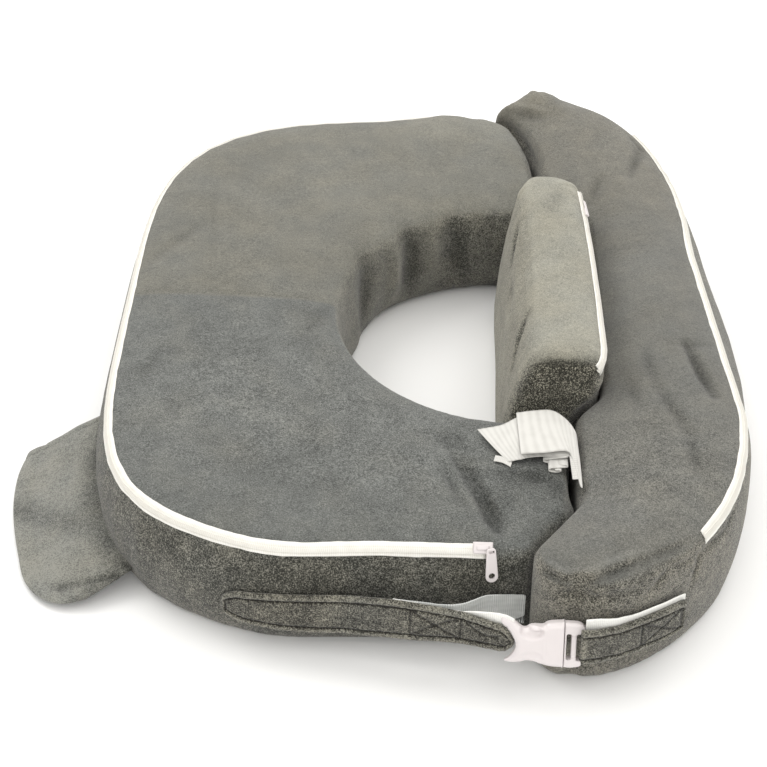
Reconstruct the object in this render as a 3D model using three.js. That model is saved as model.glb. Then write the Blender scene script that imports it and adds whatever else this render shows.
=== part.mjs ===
// Twin nursing pillow: a U-shaped front cushion, a curved back cushion that closes it round
// the waist opening, a small upright lumbar cushion, zips, waist straps, a side-release
// buckle, a side pocket and a blank care label.
// Millimetres, +Z up. X runs from the front cushion's side to the back cushion's side,
// Y runs from the buckle's end to the far end, and the pillow lies on Z = 0.

import * as THREE from 'three';

// Driving dimensions of the front cushion
const front = {
  height: 108, // top of the wall, at the zip
  crown: 4,
  middleX: 85, // middle of the waist opening
  middleY: 2,
  reachLeft: 363, // from that middle to the zip
  reachFar: 350,
  reachNear: 342,
  farSquareness: 4,
  nearSquareness: 4.6,
  openingX: 165, // half axes of the waist opening
  openingY: 170,
  wallBulge: 17.5,
  wallFoot: 5,
  openingFoot: -12, // the opening is wider at its foot, but not at its left
  openingBulge: 1.5,
};

// The far arm ends in a quarter round, and the near arm is cut off by a slanted face.
const farArm = { roundX: 60, roundY: 235, acrossX: 54, acrossY: 125, innerRise: 13, edgeBulge: 15 };
const nearArm = {
  innerY: -167,
  cutFrom: new THREE.Vector2(92, -348),
  cutTo: new THREE.Vector2(133.7, -285.5),
  edgeBulge: 8,
};

// Driving dimensions of the back cushion
const back = {
  height: 118,
  crown: 7,
  farMiddle: new THREE.Vector2(115, 100),
  farReach: new THREE.Vector2(142, 290),
  farRoundness: 2.25,
  nearMiddle: new THREE.Vector2(130, -165),
  nearReach: new THREE.Vector2(150, 225),
  nearRoundness: 1.92,
  wallFoot: 5,
  nearFoot: -4, // the wall under the buckle is nearly upright
  cornerLift: 17, // the far corner of the cover stands up
  liftAt: new THREE.Vector2(112, 384),
};
const seamGap = 0.3; // between two cushions that press on each other

// Inner edge of the back cushion, from its near end to its far end
const backInner = [
  { y: -350, x: 92 + seamGap },
  { y: -286, x: 134 },
  { y: -172, x: 134 },
  { y: -158, x: 144 },
  { y: -142, x: 157 },
  { y: -118, x: 161.6 },
  { y: -100, x: 162 },
  { y: 145, x: 162 },
  { y: 165, x: 152 },
  { y: 190, x: 128 },
  { y: 215, x: 120.5 },
  { y: 240, x: 119 },
  { y: 275, x: 116.5 },
  { y: 310, x: 108.5 },
  { y: 335, x: 97 },
  { y: 352, x: 85 },
  { y: 362, x: 72 },
  { y: 370, x: 70 },
  { y: 378, x: 82 },
  { y: 385, x: 98 },
  { y: 391, x: 111 },
];
const backNearRound = { middleX: 130, startY: -350, acrossX: 37.7, acrossY: 41 };

// How far the back cushion's outer wall stands out past its zip line
const backBulges = [
  { y: -390, bulge: 5 },
  { y: -345, bulge: 9 },
  { y: -285, bulge: 14 },
  { y: -205, bulge: 13 },
  { y: -163, bulge: 16 },
  { y: -120, bulge: 22 },
  { y: -75, bulge: 29 },
  { y: 0, bulge: 32 },
  { y: 90, bulge: 28 },
  { y: 200, bulge: 22 },
  { y: 330, bulge: 13 },
];

// Driving dimensions of the lumbar cushion, which stands in the opening
const lumbar = { height: 165, left: 70, right: 161.6 };

// Plan of the lumbar cushion: how far each side draws in, and the right side at its top
const lumbarPlan = [
  { y: -165.5, left: 15, right: 40, topRight: 17, drop: 10 },
  { y: -162.5, left: 6, right: 34, topRight: 9, drop: 4 },
  { y: -155, left: 2, right: 26, topRight: 3.5, drop: 1 },
  { y: -146, left: 0, right: 15, topRight: 1, drop: 0 },
  { y: -134, left: 0, right: 5.5, topRight: 0, drop: 0 },
  { y: -120, left: 0, right: 1.2, topRight: 0, drop: 0 },
  { y: -104, left: 0, right: 0, topRight: 0, drop: 0 },
  { y: -70, left: 0, right: 0, topRight: 0, drop: 1 },
  { y: -35, left: 0.5, right: 0, topRight: 0.5, drop: 1.5 },
  { y: 0, left: 1, right: 0, topRight: 1.5, drop: 1.5 },
  { y: 35, left: 1, right: 0, topRight: 3, drop: 1 },
  { y: 70, left: 0.5, right: 0, topRight: 5, drop: 0.5 },
  { y: 105, left: 1, right: 0.5, topRight: 8, drop: 0 },
  { y: 128, left: 3, right: 3, topRight: 11, drop: 0.5 },
  { y: 143, left: 7, right: 10, topRight: 17, drop: 2 },
  { y: 152, left: 12, right: 17, topRight: 24, drop: 5 },
  { y: 157, left: 20, right: 27, topRight: 33, drop: 12 },
];
const overhang = { from: 100, rise: 28 }; // where the right side turns to its top shape

// Section of the lumbar cushion: the left face leans, the right face is upright
const lumbarSection = [
  { side: 'left', inset: 6, up: 0 },
  { side: 'middle', inset: 0, up: 0 },
  { side: 'right', inset: 7, up: 0 },
  { side: 'right', inset: 1, up: 6 },
  { side: 'right', inset: 0, up: 45 },
  { side: 'right', inset: 0, up: 85 },
  { side: 'right', inset: 0, up: 112 },
  { side: 'right', inset: 0, up: 128 },
  { side: 'right', inset: 0, up: 148 },
  { side: 'right', inset: 0.5, up: 156 },
  { side: 'right', inset: 8.5, up: 164 },
  { side: 'right', inset: 26, up: 167 },
  { side: 'left', inset: 42, up: 167 },
  { side: 'left', inset: 30, up: 163 },
  { side: 'left', inset: 22, up: 153 },
  { side: 'left', inset: 15, up: 135 },
  { side: 'left', inset: 8, up: 105 },
  { side: 'left', inset: 3, up: 70 },
  { side: 'left', inset: 0, up: 35 },
  { side: 'left', inset: 1.5, up: 7 },
];

// Wrinkles pressed into the tops, each a soft trough from one point to another
const frontWrinkles = [
  { fromX: 65, fromY: -326, toX: 40, toY: -258, width: 8, depth: 4.5 },
  { fromX: 40, fromY: -258, toX: 26, toY: -176, width: 9, depth: 2.5 },
  { fromX: 72, fromY: -322, toX: 58, toY: -250, width: 7, depth: 2.5 },
  { fromX: 58, fromY: -250, toX: 50, toY: -196, width: 8, depth: 2 },
  { fromX: -262, fromY: 6, toX: -80, toY: 0, width: 7, depth: 1.2 },
  { fromX: -268, fromY: 57, toX: -235, toY: 112, width: 8, depth: 1.5 },
  { fromX: -223, fromY: -163, toX: -242, toY: -221, width: 9, depth: 1.5 },
  { fromX: -166, fromY: -203, toX: -195, toY: -259, width: 9, depth: 1.5 },
];
const backWrinkles = [
  { fromX: 245, fromY: -70, toX: 254, toY: -148, width: 8, depth: 4 },
  { fromX: 212, fromY: -40, toX: 233, toY: -270, width: 12, depth: 2 },
  { fromX: 224, fromY: 290, toX: 214, toY: 222, width: 8, depth: 2.5 },
  { fromX: 104, fromY: -372, toX: 128, toY: -380, width: 7, depth: 2 },
];

// Zips
const zip = { gap: 0.4, tape: 1.2, coil: 1.3, margin: 0.06 };
const frontZip = { fromX: 5, toX: 45 }; // both ends, measured along the far and the near edge
const backZip = { fromY: 387, toY: -334 };
const lumbarZip = { fromY: 128, toY: -163 };
const slider = { length: 17, width: 10, thick: 4.2, x: 53.2, bevel: 1, upLedge: 0.75 };
const puller = { length: 29, width: 10.5, thick: 1.8, hole: 5.4, lean: 15, swing: 12 };
const pullerFrom = new THREE.Vector3(4.5, -5.8, 2.7); // from the slider's foot to the puller's root
const lumbarTab = { length: 26, width: 4, thick: 2.4, y: 100 };

// Straps, elastic and buckle
const strap = { thick: 4, gap: 0.35, webbing: 1.5 };
const buckle = { y: -402.4, z: 58, height: 36, thick: 14, socketFrom: 72, socketTo: 118.6, plugTo: 138 };

// Waist strap, from its sewn end on the near wall to the buckle: how far it stands off the wall
const frontStrapRoute = [
  { x: -162, off: 0, low: 41, high: 50 },
  { x: -158, off: 0, low: 35, high: 55.5 },
  { x: -150, off: 0, low: 30, high: 61 },
  { x: -140, off: 0, low: 28.5, high: 63 },
  { x: -130, off: 0, low: 27.5, high: 64.5 },
  { x: -119, off: 0, low: 27, high: 65.5 },
  { x: -108, off: 0, low: 26.5, high: 66.5 },
  { x: -97, off: 0.3, low: 26.5, high: 67 },
  { x: -60, off: 6, low: 29.5, high: 71 },
  { x: -20, off: 16, low: 34, high: 76 },
  { x: 20, off: 26, low: 40.5, high: 79 },
  { x: 52, off: 34.5, low: 44, high: 77 },
  { x: 62, off: 37, low: 44.5, high: 75.5 },
  { x: 70.7, off: 39.5, low: 44.5, high: 74.5 },
  { x: 71.6, off: 39.7, low: 47, high: 69 },
  { x: 77, off: 40.6, low: 50, high: 66 },
  { x: 81.3, off: 41, low: 54, high: 62 },
];
const firstBacked = 9; // the webbing is sewn to its back from this row of the route
const bareRows = 3; // and it turns round the buckle's bar before the last rows

// Strap on the back cushion, from the plug to its square sewn end, by its turn round the end
const backStrapRoute = [
  { turn: 87, off: 7.5, low: 43, high: 73 },
  { turn: 83, off: 6, low: 40, high: 74 },
  { turn: 79, off: 4.5, low: 39, high: 74 },
  { turn: 74, off: 1.5, low: 38.5, high: 74 },
  { turn: 69, off: 0, low: 38, high: 73.5 },
  { turn: 64, off: 0, low: 38, high: 73.5 },
  { turn: 60.5, off: 0, low: 39, high: 73 },
  { turn: 58, off: 0, low: 40, high: 72 },
];

// Elastic that leaves the gap between the cushions and runs to the back of the strap
const elasticRoute = [
  { x: 90, y: -350, low: 29, high: 61 },
  { x: 82, y: -353.6, low: 33, high: 64.5 },
  { x: 68, y: -360, low: 37, high: 70 },
  { x: 57, y: -366, low: 40, high: 74 },
  { x: 45, y: -374.5, low: 41, high: 76 },
  { x: 34, y: -381.5, low: 42, high: 78 },
  { x: 22, y: -381.2, low: 42, high: 77.5 },
  { x: 4, y: -376.6, low: 40, high: 73.5 },
];

// Side pocket: where it leaves the wall and where its folded edge lies
const pocket = { thick: 5, nose: 1.3, offFloor: 0.6, wallGap: 0.6, droop: 0.35 };
const pocketRows = [
  { wallY: -100, wallZ: 44, edgeX: -366, edgeY: -118, edgeZ: 9 },
  { wallY: -126, wallZ: 43, edgeX: -371, edgeY: -150, edgeZ: 6 },
  { wallY: -155, wallZ: 41, edgeX: -369, edgeY: -186, edgeZ: 5 },
  { wallY: -185, wallZ: 38, edgeX: -362, edgeY: -222, edgeZ: 5 },
  { wallY: -212, wallZ: 35, edgeX: -352, edgeY: -258, edgeZ: 5 },
  { wallY: -236, wallZ: 32, edgeX: -342, edgeY: -288, edgeZ: 5 },
  { wallY: -256, wallZ: 29, edgeX: -326, edgeY: -310, edgeZ: 6 },
  { wallY: -270, wallZ: 26, edgeX: -305, edgeY: -320, edgeZ: 8 },
  { wallY: -281, wallZ: 23, edgeX: -283, edgeY: -316, edgeZ: 11 },
];

// Care label, from the seam notch to its free tip: middle line, width and heading
const label = { thick: 1 };
const labelRoute = [
  { x: 129, y: -277, z: 104.8, width: 7, heading: 90 },
  { x: 130.5, y: -264, z: 113.5, width: 11, heading: 92 },
  { x: 130, y: -245, z: 119, width: 22, heading: 112 },
  { x: 122, y: -224, z: 123, width: 46, heading: 150 },
  { x: 108, y: -212, z: 125, width: 58, heading: 175 },
  { x: 92, y: -211, z: 123.5, width: 58, heading: 181 },
  { x: 76, y: -213, z: 119.5, width: 54, heading: 184 },
  { x: 61, y: -211, z: 116, width: 34, heading: 190 },
  { x: 48, y: -203, z: 114.6, width: 8, heading: 200 },
];

const looks = {
  plush: { color: 0x6f726c, roughness: 0.95, metalness: 0 },
  backPlush: { color: 0x73746f, roughness: 0.95, metalness: 0 },
  lumbarPlush: { color: 0x9a988c, roughness: 0.95, metalness: 0 },
  zip: { color: 0xece8de, roughness: 0.6, metalness: 0 },
  webbing: { color: 0xdfe2e0, roughness: 0.75, metalness: 0 },
  elastic: { color: 0xb9c2c3, roughness: 0.8, metalness: 0 },
  plastic: { color: 0xe9e2e6, roughness: 0.3, metalness: 0 },
  satin: { color: 0xebe9e2, roughness: 0.5, metalness: 0 },
};

const plan = (x, y) => new THREE.Vector2(x, y);
const space = (flat, z) => new THREE.Vector3(flat.x, flat.y, z);
const lerp = THREE.MathUtils.lerp;
const clamp01 = (value) => THREE.MathUtils.clamp(value, 0, 1);
const ease = (value) => THREE.MathUtils.smoothstep(value, 0, 1);
const radians = THREE.MathUtils.degToRad;

// Evenly spaced numbers from the first to the last, both included
function spread(from, to, steps) {
  return Array.from({ length: steps + 1 }, (_, i) => lerp(from, to, i / steps));
}

// One column of a table, read between its rows
function along(table, key, column, at) {
  const last = table.length - 2;
  let i = table.findIndex((row, n) => n > last || at <= table[n + 1][key]);
  i = Math.min(i, last);
  const t = clamp01((at - table[i][key]) / (table[i + 1][key] - table[i][key]));
  return lerp(table[i][column], table[i + 1][column], t);
}

// Distance from the middle to a superellipse, in the direction of the angle
function superRadius(angle, acrossX, acrossY, squareness) {
  const c = Math.abs(Math.cos(angle) / acrossX) ** squareness;
  const s = Math.abs(Math.sin(angle) / acrossY) ** squareness;
  return (c + s) ** (-1 / squareness);
}

function troughDepth(wrinkles, p) {
  return wrinkles.reduce((sum, w) => {
    const from = plan(w.fromX, w.fromY);
    const run = plan(w.toX, w.toY).sub(from);
    const t = clamp01(p.clone().sub(from).dot(run) / run.lengthSq());
    const away = p.distanceTo(from.addScaledVector(run, t));
    const fade = 0.4 + 0.6 * Math.sin(Math.PI * clamp01(0.15 + 0.7 * t));
    return sum + w.depth * fade * Math.exp(-((away / w.width) ** 2));
  }, 0);
}

// Closed solid through a row of loops with equal numbers of points, with a fan at each end
function solidFromLoops(loops) {
  const count = loops[0].length;
  const middle = (loop) => loop.reduce((sum, p) => sum.add(p), new THREE.Vector3()).divideScalar(count);
  const points = [...loops.flat(), middle(loops[0]), middle(loops.at(-1))];
  const faces = [];
  for (let row = 0; row < loops.length - 1; row += 1) {
    for (let i = 0; i < count; i += 1) {
      const a = row * count + i;
      const b = row * count + ((i + 1) % count);
      faces.push([a, b, b + count], [a, b + count, a + count]);
    }
  }
  const firstMiddle = points.length - 2;
  const lastStart = (loops.length - 1) * count;
  for (let i = 0; i < count; i += 1) {
    const next = (i + 1) % count;
    faces.push([firstMiddle, next, i], [firstMiddle + 1, lastStart + i, lastStart + next]);
  }
  const volume = faces.reduce((sum, [a, b, c]) => {
    const cross = new THREE.Vector3().crossVectors(points[b], points[c]);
    return sum + points[a].dot(cross);
  }, 0);
  const outward = volume > 0 ? faces : faces.map(([a, b, c]) => [a, c, b]);
  const geometry = new THREE.BufferGeometry().setFromPoints(points);
  geometry.setIndex(outward.flat());
  geometry.computeVertexNormals();
  return geometry;
}

// Outward direction in plan at each point of an open edge; side is 1 or -1
function edgeNormals(edge, side) {
  return edge.map((_, i) => {
    const before = edge[Math.max(0, i - 1)];
    const after = edge[Math.min(edge.length - 1, i + 1)];
    const run = after.clone().sub(before).normalize();
    return plan(-run.y * side, run.x * side);
  });
}

const ledge = { out: 9, down: 10, softInset: 7 }; // the sloped edge that carries the zip
const wallLevels = [0.16, 0.3, 0.45, 0.6, 0.76];
const topSteps = 9;

// How far a bulged wall stands out of its zip line, at a share of the wall's height
function wallOffset(share, bulge, foot) {
  const straight = lerp(foot, ledge.out, share);
  const arch = 1 - (2 * share - 1) ** 2;
  return straight + (bulge - (foot + ledge.out) / 2) * arch;
}

// One closed section of a cushion: along the floor, up the outer wall, over the top, down
function cushionLoop(row, size, topAt) {
  const { inner, outer, innerNormal, outerNormal, puff, innerPuff, bulge, foot } = row;
  const { drop = 0, inset = 0, footShare = 1 } = row;
  const height = size.height - drop;
  const ledgeLow = height - ledge.down;
  const outerPoint = (offset, z) => space(outer.clone().addScaledVector(outerNormal, offset - inset), z);
  const innerPoint = (offset, z) => space(inner.clone().addScaledVector(innerNormal, offset - inset), z);
  const wallPoint = (level) => {
    const offset = puff * wallOffset(level, bulge, foot) - (1 - puff) * 0.5;
    return outerPoint(offset, Math.max(level * ledgeLow, inset));
  };
  const footInner = (size.openingFoot ?? -4) * innerPuff * footShare;
  const loop = [innerPoint(footInner - 8, inset)];
  const floorInner = loop[0];
  const floorOuter = outerPoint(puff * (foot - 4) - (1 - puff) * 6, inset);
  loop.push(floorInner.clone().lerp(floorOuter, 0.33), floorInner.clone().lerp(floorOuter, 0.67));
  loop.push(floorOuter, outerPoint(puff * (foot + 2) - (1 - puff) * 0.5, inset + 5));
  loop.push(...wallLevels.map(wallPoint));
  const ledgeOuter = outerPoint(puff * ledge.out - (1 - puff) * 0.5, ledgeLow);
  const ledgeInner = outerPoint(-(1 - puff) * ledge.softInset, height);
  const lowLedge = loop.length;
  loop.push(ledgeOuter, ledgeInner);
  const topInner = innerPoint(-14, height);
  for (let i = 1; i < topSteps; i += 1) {
    const t = i / topSteps;
    const p = ledgeInner.clone().lerp(topInner, t);
    p.z = topAt(plan(p.x, p.y), t, height);
    loop.push(p);
  }
  topInner.z = topAt(plan(topInner.x, topInner.y), 1, height) - 0.5;
  loop.push(topInner, innerPoint(-5, height - 3.5), innerPoint(-0.5, height - 12));
  const bulgeIn = (size.openingBulge ?? 0) * innerPuff;
  loop.push(innerPoint(bulgeIn, height * 0.66), innerPoint((bulgeIn + footInner) * 0.3, height * 0.36));
  loop.push(innerPoint(footInner * 0.85 - 1, inset + 8));
  return { loop, lowLedge };
}

function finishRows(rows, outerSide, innerSide) {
  const outerNormals = edgeNormals(rows.map((row) => row.outer), outerSide);
  const innerNormals = edgeNormals(rows.map((row) => row.inner), innerSide);
  return rows.map((row, i) => ({ ...row, outerNormal: outerNormals[i], innerNormal: innerNormals[i] }));
}

// Front cushion

const nearCut = (x) => {
  const t = (x - nearArm.cutFrom.x) / (nearArm.cutTo.x - nearArm.cutFrom.x);
  return lerp(nearArm.cutFrom.y, nearArm.cutTo.y, t);
};

const nearEdgeBulge = (x) => nearArm.edgeBulge * Math.exp(-(((x + 118) / 55) ** 2));

function frontRay(degrees) {
  const angle = radians(degrees);
  const away = plan(Math.cos(angle), Math.sin(angle));
  const far = away.y > 0;
  const reachY = far ? front.reachFar : front.reachNear;
  const squareness = far ? front.farSquareness : front.nearSquareness;
  const middle = plan(front.middleX, front.middleY);
  const outer = middle.clone().addScaledVector(away, superRadius(angle, front.reachLeft, reachY, squareness));
  outer.y += far ? farArm.edgeBulge * Math.exp(-(((outer.x - 32) / 48) ** 2)) : -nearEdgeBulge(outer.x);
  const inner = middle.clone().addScaledVector(away, superRadius(angle, front.openingX, front.openingY, 2));
  const farPuff = 1 - ease((outer.x + 10) / 65);
  const nearPuff = 1 - ease((outer.x - 78) / 12);
  const footShare = lerp(-0.5, 1.1, ease((Math.abs(away.y) - 0.35) / 0.4));
  return { inner, outer, puff: far ? farPuff : nearPuff, innerPuff: 1, footShare };
}

function frontRows() {
  const farRows = [1, 0.93, 0.81, 0.67, 0.5].map((share) => {
    const x = farArm.roundX + farArm.acrossX * share;
    const outer = plan(x, farArm.roundY + farArm.acrossY * Math.sqrt(1 - share ** 2));
    const rise = farArm.innerRise * clamp01((x - front.middleX) / (farArm.acrossX / 2)) ** 2;
    const inner = plan(x, front.middleY + front.openingY + rise);
    return { inner, outer, puff: 0, innerPuff: 1 };
  });
  const degrees = [...spread(93, 237, 32), ...spread(240, 267, 14)];
  const nearRows = [88, 92, 100, 109, 119, 128].map((x) => {
    const outer = plan(x, x <= nearArm.cutFrom.x ? lerp(-342, -348, (x - 84) / 8) : nearCut(x));
    return { inner: plan(x, nearArm.innerY), outer, puff: x < nearArm.cutFrom.x ? 0.3 : 0, innerPuff: 0.6 };
  });
  const farEnd = { ...farRows[0], drop: 7, inset: 7 };
  farEnd.inner = farEnd.inner.clone().setX(farEnd.inner.x + 3);
  farEnd.outer = farEnd.outer.clone().setX(farEnd.outer.x + 3);
  const endX = nearArm.cutTo.x;
  const nearEnd = {
    inner: plan(endX, nearArm.innerY - 7),
    outer: plan(endX, nearCut(endX) + 7),
    puff: 0,
    innerPuff: 0,
    drop: 7,
  };
  const rows = [farEnd, ...farRows, ...degrees.map(frontRay), ...nearRows, nearEnd];
  return finishRows(rows, -1, 1).map((row) => ({ ...row, bulge: front.wallBulge, foot: front.wallFoot }));
}

function frontTop(p, t, height) {
  const crown = front.crown * Math.sin(Math.PI * clamp01(t)) ** 0.6;
  return height + crown - troughDepth(frontWrinkles, p);
}

// Back cushion

function backOuterX(y) {
  const { farMiddle, farReach, farRoundness, nearMiddle, nearReach, nearRoundness } = back;
  if (y > farMiddle.y) {
    const share = clamp01((y - farMiddle.y) / farReach.y);
    return farMiddle.x + farReach.x * (1 - share ** farRoundness) ** (1 / farRoundness);
  }
  if (y < nearMiddle.y) {
    const share = clamp01((nearMiddle.y - y) / nearReach.y);
    return nearMiddle.x + nearReach.x * (1 - share ** nearRoundness) ** (1 / nearRoundness);
  }
  const t = (y - nearMiddle.y) / (farMiddle.y - nearMiddle.y);
  return lerp(nearMiddle.x + nearReach.x, farMiddle.x + farReach.x, t);
}

function backInnerX(y) {
  const { middleX, startY, acrossX, acrossY } = backNearRound;
  if (y < startY) return middleX - acrossX * Math.sqrt(1 - clamp01((startY - y) / acrossY) ** 2);
  return along(backInner, 'y', 'x', y);
}

function backRow(y) {
  const outer = plan(backOuterX(y), y);
  const nearness = ease((y + 390) / 120);
  return {
    inner: plan(backInnerX(y), y),
    outer,
    puff: lerp(0.6, 1, nearness),
    innerPuff: 0,
    bulge: along(backBulges, 'y', 'bulge', y),
    foot: lerp(back.nearFoot, back.wallFoot, nearness),
  };
}

function backRows() {
  const ys = [-389.6, -387, -382, -374, -363, ...spread(-350, -286, 4), ...spread(-262, -190, 3), -172];
  ys.push(-158, -142, -118, -100, ...spread(-70, 115, 6), 145, 165, 190, 215, 240, 275, 298, 317, 335);
  ys.push(346, 354, 362, 370, 378, 385, 388.6);
  return finishRows(ys.map(backRow), -1, 1);
}

function backTop(p, t, height) {
  const crown = back.crown * Math.sin(Math.PI * clamp01(t)) ** 0.7;
  const away = plan((p.x - back.liftAt.x) / 30, (p.y - back.liftAt.y) / 26);
  const lift = back.cornerLift * Math.exp(-away.lengthSq());
  return height + crown * ease((390 - Math.abs(p.y)) / 40) + lift - troughDepth(backWrinkles, p);
}

// Lumbar cushion

function lumbarLoop({ y, left, right, topRight, drop }) {
  const low = lumbar.left + left;
  const loop = lumbarSection.map(({ side, inset, up }) => {
    const high = lumbar.right - lerp(right, topRight, ease((up - overhang.from) / overhang.rise));
    const share = (high - low) / (lumbar.right - lumbar.left);
    const sides = { left: low + inset * share, right: high - inset * share, middle: (low + high) / 2 };
    const scaledUp = up < 10 ? up : up * (lumbar.height - drop) / lumbar.height;
    return new THREE.Vector3(sides[side], y, scaledUp);
  });
  return { loop, lowLedge: lumbarSection.findIndex(({ up }) => up === 156) };
}

// Point on the sloped ledge of a section, at a share of its slope and a distance off it
function ledgePoint({ loop, lowLedge }, share, off) {
  const low = loop[lowLedge];
  const rise = loop[lowLedge + 1].clone().sub(low);
  return low.clone().addScaledVector(rise, share).addScaledVector(ledgeOut({ loop, lowLedge }), off);
}

function ledgeOut({ loop, lowLedge }) {
  const rise = loop[lowLedge + 1].clone().sub(loop[lowLedge]);
  const level = new THREE.Vector3(rise.x, rise.y, 0).normalize();
  return level.multiplyScalar(-rise.z).setZ(Math.hypot(rise.x, rise.y)).normalize();
}

// Zip band on the sloped ledges of neighbouring sections
function zipBand(sections) {
  const skin = zip.gap + zip.tape;
  return solidFromLoops(sections.map((section) => [
    ledgePoint(section, zip.margin, zip.gap),
    ledgePoint(section, 1 - zip.margin, zip.gap),
    ledgePoint(section, 1 - zip.margin, skin),
    ledgePoint(section, 0.68, skin),
    ledgePoint(section, 0.5, skin + zip.coil),
    ledgePoint(section, 0.32, skin),
    ledgePoint(section, zip.margin, skin),
  ]));
}

// Upright band along a route in plan, with rounded edges
function uprightBand(route, thick, soft) {
  const normals = edgeNormals(route.map(({ x, y }) => plan(x, y)), 1);
  return solidFromLoops(route.map(({ x, y, low, high }, i) => {
    const at = (off, z) => space(plan(x, y).addScaledVector(normals[i], off * thick / 2), z);
    const edge = Math.min(soft, (high - low) / 3);
    return [
      at(-0.45, low),
      at(0.45, low),
      at(1, low + edge),
      at(1, high - edge),
      at(0.45, high),
      at(-0.45, high),
      at(-1, high - edge),
      at(-1, low + edge),
    ];
  }));
}

// The same route moved sideways, towards or away from the cushions
function besideRoute(route, off, lower, raise) {
  const normals = edgeNormals(route.map(({ x, y }) => plan(x, y)), 1);
  return route.map(({ x, y, low, high }, i) => {
    const moved = plan(x, y).addScaledVector(normals[i], off);
    return { x: moved.x, y: moved.y, low: low + lower, high: high + raise };
  });
}

// Point on the near end of the back cushion, off its wall
function nearEndPoint(turn, off) {
  const angle = radians(turn);
  const { nearMiddle, nearReach } = back;
  const p = plan(nearMiddle.x + nearReach.x * Math.cos(angle), nearMiddle.y - nearReach.y * Math.sin(angle));
  const normal = plan(Math.cos(angle) / nearReach.x, -Math.sin(angle) / nearReach.y).normalize();
  return p.addScaledVector(normal, off);
}

function backStrapPath() {
  const ledgeLow = back.height - ledge.down;
  return backStrapRoute.map(({ turn, off, low, high }) => {
    const row = backRow(nearEndPoint(turn, 0).y);
    const offsets = [0.5, high / ledgeLow].map((level) => wallOffset(level, row.bulge, row.foot));
    const fullest = Math.max(...offsets);
    const clear = strap.gap * 2 + strap.webbing + strap.thick / 2;
    const p = nearEndPoint(turn, row.puff * fullest + off + clear);
    return { x: p.x, y: p.y, low, high };
  });
}

// The waist strap follows the fullest line of the near wall, at its distance off it
function frontStrapPath(rows) {
  const nearWall = rows.filter(({ outer }) => outer.y < -200 && outer.x < nearArm.cutFrom.x - 10);
  const fullest = nearWall.map(({ outer, outerNormal }) => {
    const p = outer.clone().addScaledVector(outerNormal, front.wallBulge);
    return { x: p.x, y: p.y };
  });
  return frontStrapRoute.map(({ x, off, low, high }) => {
    const y = along(fullest, 'x', 'y', x) - strap.gap - strap.thick * 0.58 - off;
    return { x, y, low, high };
  });
}

// Point on the bulged wall of the front cushion, at a distance along Y and a height
function frontWallPoint(rows, y, z, off) {
  const walls = rows.filter((row) => row.outer.x < -100);
  const next = walls.findIndex((row) => row.outer.y <= y);
  const a = walls[next - 1];
  const b = walls[next];
  const t = (a.outer.y - y) / (a.outer.y - b.outer.y);
  const level = z / (front.height - ledge.down);
  const p = a.outer.clone().lerp(b.outer, t);
  const normal = a.outerNormal.clone().lerp(b.outerNormal, t).normalize();
  return p.addScaledVector(normal, wallOffset(level, front.wallBulge, front.wallFoot) + off);
}

function pocketSolid(rows) {
  const steps = [0, 0.14, 0.32, 0.52, 0.72, 0.88];
  const loops = pocketRows.map(({ wallY, wallZ, edgeX, edgeY, edgeZ }) => {
    const root = frontWallPoint(rows, wallY, wallZ + pocket.thick, pocket.wallGap);
    const edge = plan(edgeX, edgeY);
    const heightAt = (t) => lerp(wallZ, edgeZ, (1 - pocket.droop) * t + pocket.droop * ease(t));
    const halfAt = (t) => pocket.thick * (0.36 + 0.14 * Math.sin(Math.PI * t));
    const pointAt = (t, z) => space(root.clone().lerp(edge, t), Math.max(pocket.offFloor, z));
    const over = steps.map((t) => pointAt(t, heightAt(t) + halfAt(t)));
    const under = steps.map((t) => pointAt(t, heightAt(t) - halfAt(t)));
    return [...over, pointAt(1, edgeZ + pocket.nose), pointAt(1, edgeZ - pocket.nose), ...under.reverse()];
  });
  return solidFromLoops(loops);
}

function labelSolid() {
  return solidFromLoops(labelRoute.map(({ x, y, z, width, heading }) => {
    const angle = radians(heading);
    const across = new THREE.Vector3(-Math.sin(angle), Math.cos(angle), 0).multiplyScalar(width / 2);
    const middle = new THREE.Vector3(x, y, z);
    const at = (side, up) => middle.clone().addScaledVector(across, side).setZ(z + up * label.thick);
    return [at(-1, -0.5), at(0, 0), at(1, -0.5), at(1, 0.5), at(0, 1), at(-1, 0.5)];
  }));
}

// Zip slider and puller, lying on the ledge at the near end of the front zip
function sliderGeometry() {
  const half = slider.length / 2;
  const wide = slider.width / 2;
  const shape = new THREE.Shape();
  shape.moveTo(-half, -wide * 0.7);
  shape.lineTo(-half * 0.4, -wide);
  shape.lineTo(half * 0.7, -wide);
  shape.lineTo(half, -wide * 0.6);
  shape.lineTo(half, wide * 0.6);
  shape.lineTo(half * 0.7, wide);
  shape.lineTo(-half * 0.4, wide);
  shape.lineTo(-half, wide * 0.7);
  shape.closePath();
  const bevel = slider.bevel;
  return new THREE.ExtrudeGeometry(shape, {
    depth: slider.thick - 2 * bevel,
    bevelThickness: bevel,
    bevelSize: bevel * 0.8,
    bevelOffset: -bevel * 0.8,
    bevelSegments: 1,
  }).translate(0, 0, bevel);
}

function pullerGeometry() {
  const wide = puller.width / 2;
  const shape = new THREE.Shape();
  shape.moveTo(-wide * 0.7, 0);
  shape.lineTo(wide * 0.7, 0);
  shape.lineTo(wide, -puller.length + wide);
  shape.absarc(0, -puller.length + wide, wide, 0, -Math.PI, true);
  shape.closePath();
  const hole = new THREE.Path();
  hole.absarc(0, -puller.length + wide + 0.6, puller.hole / 2, 0, 2 * Math.PI, false);
  shape.holes.push(hole);
  return new THREE.ExtrudeGeometry(shape, { depth: puller.thick, bevelEnabled: false, curveSegments: 8 });
}

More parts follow.
